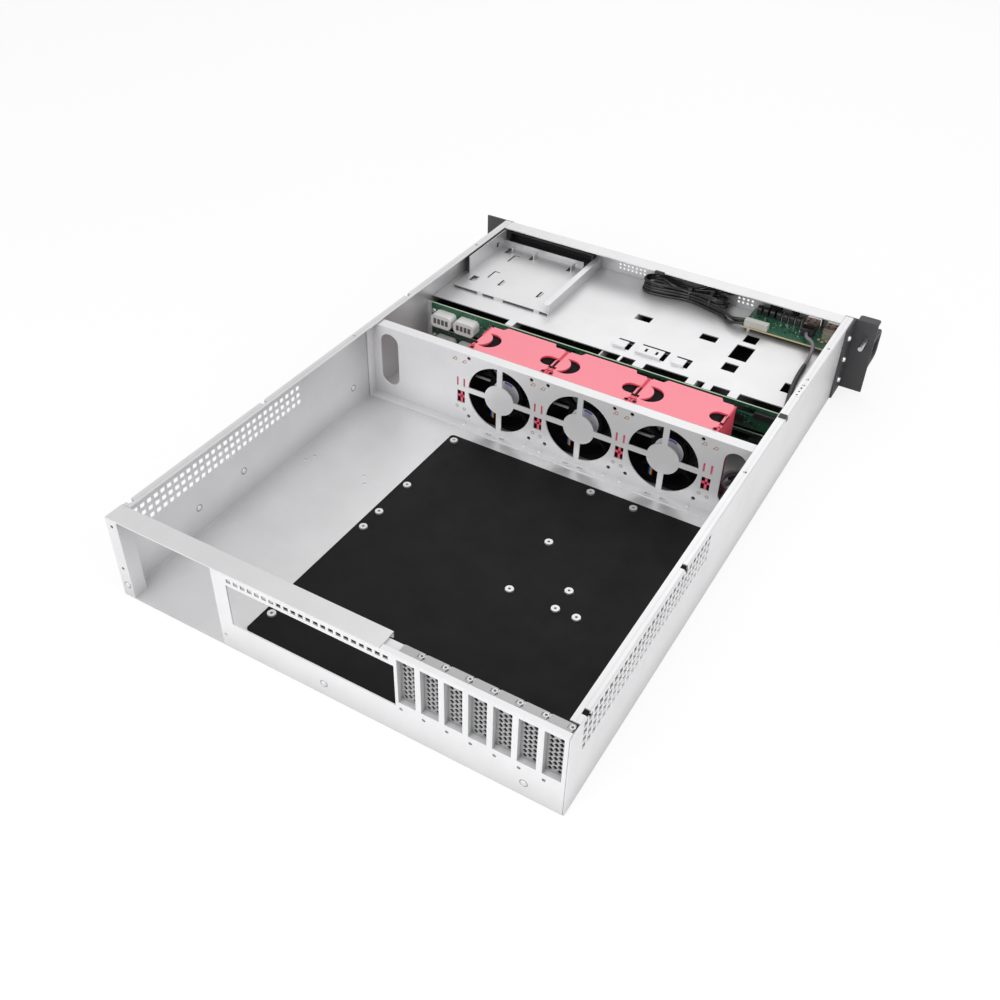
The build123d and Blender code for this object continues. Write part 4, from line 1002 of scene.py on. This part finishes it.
def deck_windows():
    """Painted shade: black strips at the ends of the windows under the deck's pressed tabs."""
    windows = Shape()
    for x, y, width in DECK_WINDOWS:
        windows.block((x, y - 4.4, DECK_TOP), (x + width, y + 0.1, DECK_TOP + 0.1))
    windows.done("deck_window_shade", "fan", "black_plastic")


# Fan wall, fans and carriers

# Shift from a seam and height of the printed marks and of the faint ones
PRINTED_MARKS = ((6.6, 77.6), (-4.6, 76.6))
FAINT_MARKS = ((4.8, 20.0), (-3.8, 18.4))
# Half width, front, bottom and top of the pink strips behind the slit and the crossed keys
LATCH_STRIPS = ((6.0, 278.1, 44.6, 57.4), (1.2, 278.0, 25.0, 41.0), (5.4, 278.0, 31.7, 34.3))
STRIP_BACK = 278.7
FOOT_RIVET_SHIFTS = (39.3, -32.8)
LABEL_THICKNESS = 0.2
FAN_WIRES = ("wire_blue", "wire_cyan", "wire_yellow", "wire_red")
# Boxes on a carrier's top: distance in from the carrier's end, Y, and height above the top
CLIP_BOXES = (
    ((0.0, 262.5, 0.0), (5.0, 267.0, 0.9)),
    ((1.0, 256.5, 0.0), (3.0, 260.5, 0.6)),
    ((0.0, 221.0, 0.0), (1.5, 240.0, 0.5)),
)
# Black fills of the gaps at each end of a carrier's top, painted shade where they look dark
GAP_SHADE_BOXES = (
    ((0.0, 261.0, 0.0), (4.4, 262.6, 0.25)),
    ((0.2, 253.0, 0.0), (3.6, 256.6, 0.25)),
    ((2.2, 264.4, 0.9), (5.8, 267.4, 1.1)),
    ((0.0, 240.0, 0.0), (1.0, 256.0, 0.2)),
    ((0.0, 218.0, 0.0), (2.8, 221.0, 0.25)),
)


def wall_marks():
    """Small printed rings and dots beside the seams."""
    printed = Shape()
    faint = Shape()
    for seam in SEAMS:
        for shift, z in PRINTED_MARKS:
            printed.ring((seam + shift, FAN_WALL_FACE, z), TO_REAR, 2.0, 1.2, MARK_THICKNESS, 20)
            printed.rod((seam + shift + 2.6, FAN_WALL_FACE, z - 1.3), TO_REAR, 0.8, MARK_THICKNESS, 12)
        for shift, z in FAINT_MARKS:
            faint.ring((seam + shift, FAN_WALL_FACE, z), TO_REAR, 1.8, 1.2, 0.1, 20)
    printed.done("wall_ring_marks", "mark", "case_steel")
    faint.done("wall_faint_marks", "seam", "case_steel")


def latch_strips():
    """Pink strips behind the slits and the crossed keys, with a black back of painted shade seen
    through the keys.
    """
    strips = Shape()
    shade_backs = Shape()
    for seam in SEAMS:
        for half, front, low, high in LATCH_STRIPS:
            strips.block((seam - half, front, low), (seam + half, STRIP_BACK, high))
        # Painted shade: a black sheet behind the crossed keys
        shade_backs.block((seam - 5.4, 277.6, 25.0), (seam + 5.4, 278.0, 41.0))
    strips.done("latch_strips", "latch", "carrier_plastic")
    shade_backs.done("latch_strip_shade", "fan", "black_plastic")


def fan_pieces(i):
    """Face, blank hub label, coloured band, bar and wires of a fan; the bar's grey is a painted
    highlight.
    """
    body = f"carrier_{i}"
    x, _, z = middle(f"fan_frame_{i}")
    rear = extent(f"fan_frame_{i}")[1][1]
    back = extent(f"fan_carrier_{i}")[1][1]
    face = Shape().ring((x, back, z), TO_REAR, 42.0, 37.9, 0.2, 64, square=True)
    face.ring((x, back - 2.3, z), TO_REAR, 38.4, 37.7, 2.4, 64)
    face.done(f"fan_face_{i}", "fan", "fan_plastic", body)
    label = Shape().ring((x, rear, z), TO_REAR, 15.2, 2.4, LABEL_THICKNESS, 48)
    label.done(f"hub_label_{i}", "label", "white_plastic", body)
    band = arc((x, z), (14.6, 14.6), 82, 122, 8) + arc((x, z), (12.2, 12.2), 122, 82, 8)
    printed = Shape().plate(band, rear + LABEL_THICKNESS, rear + LABEL_THICKNESS + 0.08, axis=1)
    printed.done(f"label_band_{i}", "blue_ink", "white_plastic", body)
    # Painted highlight: the bar is coloured grey, though the fan's plastic is black
    bar = Shape().block((x + 19.0, rear - 1.6, z + 8.3), (x + 39.6, rear + 0.3, z + 10.4))
    bar.done(f"fan_bar_{i}", "strut", "fan_plastic", body, bevel=0.4)
    for k, colour in enumerate(FAN_WIRES):
        foot = (x + 17.2 - 1.05 * k, rear + 0.1, z - 37.0)
        strand = Shape().rod(foot, (-0.03, 0, 1), 0.5, 15.0 + 1.5 * k, 8)
        strand.done(f"fan_{colour}_{i}", colour, "black_plastic", body)


def carrier_boxes(i, boxes):
    """The same boxes at both ends of a carrier's top."""
    (left, _, _), (right, _, top) = extent(f"fan_carrier_{i}")
    shape = Shape()
    for end, way in ((left, 1), (right, -1)):
        for corners in boxes:
            shape.block(*((end + way * x, y, top + z) for x, y, z in corners))
    return shape


# Boards

BOARD_EDGE_HALF = 206.9
CHIP_COUNT = 90
LARGE_CHIPS_X = (120.0, 62.0, 8.0, -46.0, -112.0, -160.0)
DATA_PLUGS_X = (100.0, -8.0, -96.0, -186.0)
BACKPLANE_SCREWS_X = (204.0, -203.0)
POWER_SOCKETS_X = (187.0, 157.5)
PORT_PITCH = 5.0
FRONT_PART_COUNT = 46
SOCKET_COUNT = 7
SOCKET_FIRST_X = -117.0
SOCKET_PITCH = 7.4
HEADER_X, HEADER_Y = -176.0, 27.0
BRASS_PADS = ((-190.0, 31.0), (-194.5, 34.0), (-198.0, 30.5), (-201.5, 35.0))


def backplane_parts(name, draw):
    """Cut edge, chips, plugs and screws of a backplane."""
    (_, _, low), (_, rear, high) = extent(f"backplane_{name}")
    half = BOARD_EDGE_HALF
    edge = Shape().block((-half, rear - 1.6, high), (half, rear, high + 0.15))
    edge.done(f"backplane_edge_{name}", "board_edge", "board_green")
    chips = []
    for _ in range(CHIP_COUNT):
        chips.append((draw.uniform(-204, 138), rear + 0.5, draw.uniform(low + 2, high - 9)))
    pale = [(x + draw.uniform(2, 5), y - 0.1, z + draw.uniform(-1, 1)) for x, y, z in chips[::2]]
    bits(f"small_chips_{name}", chips, (2.0, 1.0, 1.2), "black")
    bits(f"pale_parts_{name}", pale, (1.3, 0.8, 0.7), "pad")
    large = Shape()
    for x in LARGE_CHIPS_X:
        large.block((x - 5, rear, low + 5), (x + 5, rear + 1.4, low + 13))
    large.done(f"large_chips_{name}", "black", "black_plastic", bevel=0.2)
    plugs = Shape()
    for x in DATA_PLUGS_X:
        plugs.block((x - 11, rear, high - 10), (x + 11, rear + 5.5, high - 3.5))
    plugs.done(f"data_plugs_{name}", "black", "black_plastic", bevel=0.4)
    spots = [(x, rear, low + 17) for x in BACKPLANE_SCREWS_X]
    heads(f"backplane_screws_{name}", spots, TO_REAR, 2.8, 1.4, "screw")


def power_socket_ports():
    """Dark openings in the rear faces of the power sockets."""
    mouth = extent("power_sockets")[1][1]
    ports = []
    for name in ("upper", "lower"):
        z = middle(f"backplane_{name}")[2]
        for x in POWER_SOCKETS_X:
            ports += [(x + PORT_PITCH * (k - 1.5), mouth, z) for k in range(4)]
    bits("power_socket_ports", ports, (3.6, 0.3, 6.5), "port_shadow")


def front_board_parts(draw):
    """Rim, small parts and brass pads of the front board."""
    (left, _, under), (right, rear, top) = extent("front_board")
    rim = Shape().block((left + 0.1, rear, under), (right - 0.1, rear + 0.15, top))
    rim.done("front_board_rim", "tan_edge", "board_green")
    spots = []
    for _ in range(FRONT_PART_COUNT):
        spots.append((draw.uniform(left + 22, right - 4), draw.uniform(19, 38), top + 0.45))
    bits("front_board_chips", spots[::2], (2.0, 1.2, 0.9), "black")
    bits("front_board_pads", spots[1::2], (1.2, 0.8, 0.6), "pad")
    brass = Shape()
    for x, y in BRASS_PADS:
        brass.block((x - 1.4, y - 1.6, top), (x + 1.4, y + 1.6, top + 0.9))
    brass.done("front_brass_pads", "mark", "socket_metal", bevel=0.2)


def front_sockets():
    """Round-shouldered sockets and the shrouded header, in place of their plain blocks."""
    top = extent("front_board")[1][2]
    crown = extent("front_switches")[1][2]
    outline = [(7.4, top), (16.4, top), *arc((11.9, crown - 3.2), (4.5, 3.2), 0, 180, 8)]
    sockets = Shape()
    for i in range(SOCKET_COUNT):
        x = SOCKET_FIRST_X - SOCKET_PITCH * i
        sockets.plate(outline, x - 2.5, x + 2.5, axis=0)
    x, y, base, rim = HEADER_X, HEADER_Y, top + 3, top + 9
    sockets.blocks(
        (
            ((x - 7, y - 5, top), (x + 7, y + 5, base)),
            ((x - 7, y - 5, base), (x + 7, y - 4.2, rim)),
            ((x - 7, y + 4.2, base), (x + 7, y + 5, rim)),
            ((x - 7, y - 4.2, base), (x - 6.2, y + 4.2, rim)),
            ((x + 6.2, y - 4.2, base), (x + 7, y + 4.2, rim)),
            ((-187.0, 9.0, top), (-185.0, 11.0, top + 13)),
        )
    )
    piece = sockets.done("front_sockets", "black", "black_plastic", bevel=0.25)
    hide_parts("front_switches")
    gaps = [SOCKET_FIRST_X - SOCKET_PITCH * (i + 0.5) for i in range(3, SOCKET_COUNT)]
    contacts = [(x, 12.6, top + 4.2) for x in gaps]
    bits("front_contacts", contacts, (0.7, 6.4, 7.6), "contact")


def socket_slots():
    """Dark slots in the tops of the plated sockets."""
    (left, front, _), (right, _, crown) = extent("usb_sockets")
    slots = []
    for share in (0.1, 0.3, 0.7, 0.9):
        x = left + (right - left) * share
        slots += [(x, front + y, crown + 0.05) for y in (4.0, 9.0)]
    bits("socket_slots", slots, (2.6, 2.2, 0.2), "black")


# Operators


class SERVERCASE_OT_finishes(bpy.types.Operator):
    """Makes the finishes and paints the solid parts with them"""

    bl_idname = "servercase.finishes"
    bl_label = "Finishes"

    def execute(self, context):
        make_finishes(context.scene.server_case_finish)
        for finish, nodes in PAINTED.items():
            paint(finish, *nodes)
        for i in CARRIERS:
            paint("carrier", f"fan_carrier_{i}")
            paint("fan", f"fan_frame_{i}")
            paint("blade", f"fan_rotor_{i}")
        for i in TRAYS:
            paint("tray", f"drive_tray_{i}")
            paint("black", f"tray_lever_{i}")
        return {"FINISHED"}


class SERVERCASE_OT_stage(bpy.types.Operator):
    """Sets the camera, the floor, the lights and the room"""

    bl_idname = "servercase.stage"
    bl_label = "Stage"

    def execute(self, context):
        scene = context.scene
        values = scene.server_case_stage
        scene.view_settings.view_transform = "Standard"
        add_camera(scene, values.lens)
        add_room(scene, values.sky)
        add_floor()
        add_soft_box("key_box", (0.3, 1.8, 1.3), 1.4, values.key_power)
        add_soft_box("fill_box", (-1.5, 0.4, 1.1), 1.2, values.fill_power)
        add_soft_box("back_box", (0.2, -1.4, 1.4), 1.4, values.fill_power * 0.6)
        return {"FINISHED"}


class SERVERCASE_OT_lead(bpy.types.Operator):
    """Lays the front lead over the drive cage and coils its spare length on the floor"""

    bl_idname = "servercase.lead"
    bl_label = "Front lead"

    def execute(self, context):
        route = [*LEAD_ROUTE, *coil_route()]
        lead = rope("front_lead_cord", route, LEAD_DIAMETER / 2, "lead")
        line = line_of(lead)
        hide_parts("front_lead", "lead_coil")
        covered = [p for p in line if SLEEVE_START < p.y < SLEEVE_END and p.z > SLEEVE_LOWEST]
        cover = Shape().loft(tube(covered, SLEEVE_RADIUS))
        cover = cover.done("front_lead_sleeve", "sleeve", "black_plastic")
        ahead = line[-1] - line[-4]
        level = (ahead.x, ahead.y, 0)
        plug = end_plug("front_lead_plug", LEAD_PLUG, TO_REAR, level, line[-1], 0.4)
        return {"FINISHED"}


class SERVERCASE_OT_hank(bpy.types.Operator):
    """Ties the spare cable of the front board into a hank along the front wall"""

    bl_idname = "servercase.hank"
    bl_label = "Cable hank"

    def execute(self, context):
        for name, way, first, second, loose, left_out, length in HANK_CABLES:
            route = [
                *way,
                *hank_loop(first)[1:],
                *hank_fold(first, second),
                *hank_loop(second)[:-left_out],
                *loose,
            ]
            cable = rope(f"hank_cable_{name}", route, HANK_DIAMETER / 2, "wire")
            ahead = Vector(loose[-1]) - Vector(loose[-2])
            plug = end_plug(f"hank_plug_{name}", HANK_PLUG, (1, 0, 0), ahead, loose[-1], 0.5)
            if name == "outer":
                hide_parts("cable_hank")
        for number, tie in enumerate(HANK_TIES, start=1):
            hank_tie(number, *tie)
        return {"FINISHED"}


class SERVERCASE_OT_ear_rivets(bpy.types.Operator):
    """Adds the rivets that hold the ears to the body"""

    bl_idname = "servercase.ear_rivets"
    bl_label = "Ear rivets"

    def execute(self, context):
        radius = context.scene.server_case_sizes.rivet_radius / MM
        for name, side in SIDES:
            spots = [(side * EAR_FACE, EAR_RIVET_Y, z) for z in EAR_RIVET_Z]
            heads(f"ear_rivets_{name}", spots, (side, 0, 0), radius, 2.2, "rivet")
        return {"FINISHED"}


class SERVERCASE_OT_sheet_marks(bpy.types.Operator):
    """Adds the small pressings, screws and clips on the sheet-metal walls"""

    bl_idname = "servercase.sheet_marks"
    bl_label = "Sheet marks"

    def execute(self, context):
        radius = context.scene.server_case_sizes.screw_radius / MM
        for name, side in SIDES:
            inward = (-side, 0, 0)
            spots = [(side * WALL_INSIDE, y, z) for y, z in WALL_BUTTONS[name]]
            buttons = f"wall_buttons_inside_{name}"
            pressed_buttons(buttons, f"button_rings_{name}", spots, inward, BUTTON_RING_LIFT)
            spots = [(side * FLANGE_SCREW_X, FLANGE_SCREW_Y, z) for z in FLANGE_SCREW_Z]
            screws = f"fan_wall_screws_{name}"
            heads(screws, spots, inward, radius, 1.0, "screw", crown=0.75)
            rim_lip(name, side)
        spots = [(x, BODY_DEPTH, z) for x, z in REAR_BUTTONS]
        buttons = "rear_panel_buttons"
        pressed_buttons(buttons, "rear_button_rings", spots, TO_REAR, -BUTTON_RING_LIFT)
        slot_screw_recesses()
        bracket = Shape().blocks(RIM_BRACKET)
        bracket.done("rim_bracket", "steel", "case_steel", bevel=0.3)
        # Painted shade: black discs where the rim's holes look dark
        heads("rim_hole_shades", RIM_HOLE_SHADES, UP, 1.0, 0.15, "fan")
        deck_windows()
        Shape().blocks(LID_CLIPS).done("lid_clips", "black", "black_plastic", bevel=0.4)
        return {"FINISHED"}


class SERVERCASE_OT_fan_wall(bpy.types.Operator):
    """Adds the fine marks, latch strips and foot rivets of the fan wall"""

    bl_idname = "servercase.fan_wall"
    bl_label = "Fan wall"

    def execute(self, context):
        wall_marks()
        latch_strips()
        studs = [(x + shift, 283.6, 2.4) for x in FAN_X for shift in FOOT_RIVET_SHIFTS]
        rivets = "wall_foot_rivets"
        heads(rivets, studs, UP, 2.0, 0.7, "steel_across", crown=0.6)
        return {"FINISHED"}


class SERVERCASE_OT_fans(bpy.types.Operator):
    """Adds the faces, blank hub labels, bars and lead wires of the fans"""

    bl_idname = "servercase.fans"
    bl_label = "Fans"

    def execute(self, context):
        for i in CARRIERS:
            fan_pieces(i)
        return {"FINISHED"}


class SERVERCASE_OT_carriers(bpy.types.Operator):
    """Adds the latch clips of the fan carriers, and black fills of painted shade in the gaps at
    their ends
    """

    bl_idname = "servercase.carriers"
    bl_label = "Fan carriers"

    def execute(self, context):
        for i in CARRIERS:
            body = f"carrier_{i}"
            # Painted shade: black fills in the gaps at the carriers' ends
            gaps = carrier_boxes(i, GAP_SHADE_BOXES)
            gaps.done(f"carrier_gaps_{i}", "fan", "carrier_plastic", body)
            clips = carrier_boxes(i, CLIP_BOXES)
            clips.done(f"carrier_clips_{i}", "carrier_deep", "carrier_plastic", body, bevel=0.25)
        return {"FINISHED"}


class SERVERCASE_OT_backplanes(bpy.types.Operator):
    """Adds the chips, plugs and screws of the backplanes"""

    bl_idname = "servercase.backplanes"
    bl_label = "Backplanes"

    def execute(self, context):
        seed = context.scene.server_case_sizes.chip_seed
        backplane_parts("upper", random.Random(seed + 1))
        backplane_parts("lower", random.Random(seed))
        power_socket_ports()
        return {"FINISHED"}


class SERVERCASE_OT_front_board(bpy.types.Operator):
    """Adds the parts on the front board"""

    bl_idname = "servercase.front_board"
    bl_label = "Front board"

    def execute(self, context):
        front_board_parts(random.Random(context.scene.server_case_sizes.chip_seed))
        front_sockets()
        socket_slots()
        return {"FINISHED"}


class SERVERCASE_PT_panel(bpy.types.Panel):
    """Lists the pieces and their values"""

    bl_label = "Server case"
    bl_idname = "SERVERCASE_PT_panel"
    bl_space_type = "VIEW_3D"
    bl_region_type = "UI"
    bl_category = "Server case"

    def draw(self, context):
        scene = context.scene
        for group in (scene.server_case_finish, scene.server_case_stage, scene.server_case_sizes):
            for name in group.__annotations__:
                self.layout.prop(group, name)
        for operator in OPERATORS:
            self.layout.operator(operator.bl_idname)


OPERATORS = (
    SERVERCASE_OT_finishes,
    SERVERCASE_OT_stage,
    SERVERCASE_OT_lead,
    SERVERCASE_OT_hank,
    SERVERCASE_OT_ear_rivets,
    SERVERCASE_OT_sheet_marks,
    SERVERCASE_OT_fan_wall,
    SERVERCASE_OT_fans,
    SERVERCASE_OT_carriers,
    SERVERCASE_OT_backplanes,
    SERVERCASE_OT_front_board,
)
GROUPS = {
    "server_case_finish": ServerCaseFinish,
    "server_case_stage": ServerCaseStage,
    "server_case_sizes": ServerCaseSizes,
}


def register():
    for group in GROUPS.values():
        bpy.utils.register_class(group)
    for name, group in GROUPS.items():
        setattr(bpy.types.Scene, name, PointerProperty(type=group))
    for operator in OPERATORS + (SERVERCASE_PT_panel,):
        bpy.utils.register_class(operator)


def unregister():
    for operator in (SERVERCASE_PT_panel,) + OPERATORS[::-1]:
        bpy.utils.unregister_class(operator)
    for name in GROUPS:
        delattr(bpy.types.Scene, name)
    for group in GROUPS.values():
        bpy.utils.unregister_class(group)


def main():
    register()
    for operator in OPERATORS:
        category, name = operator.bl_idname.split(".")
        getattr(getattr(bpy.ops, category), name)()


if __name__ == "__main__":
    main()
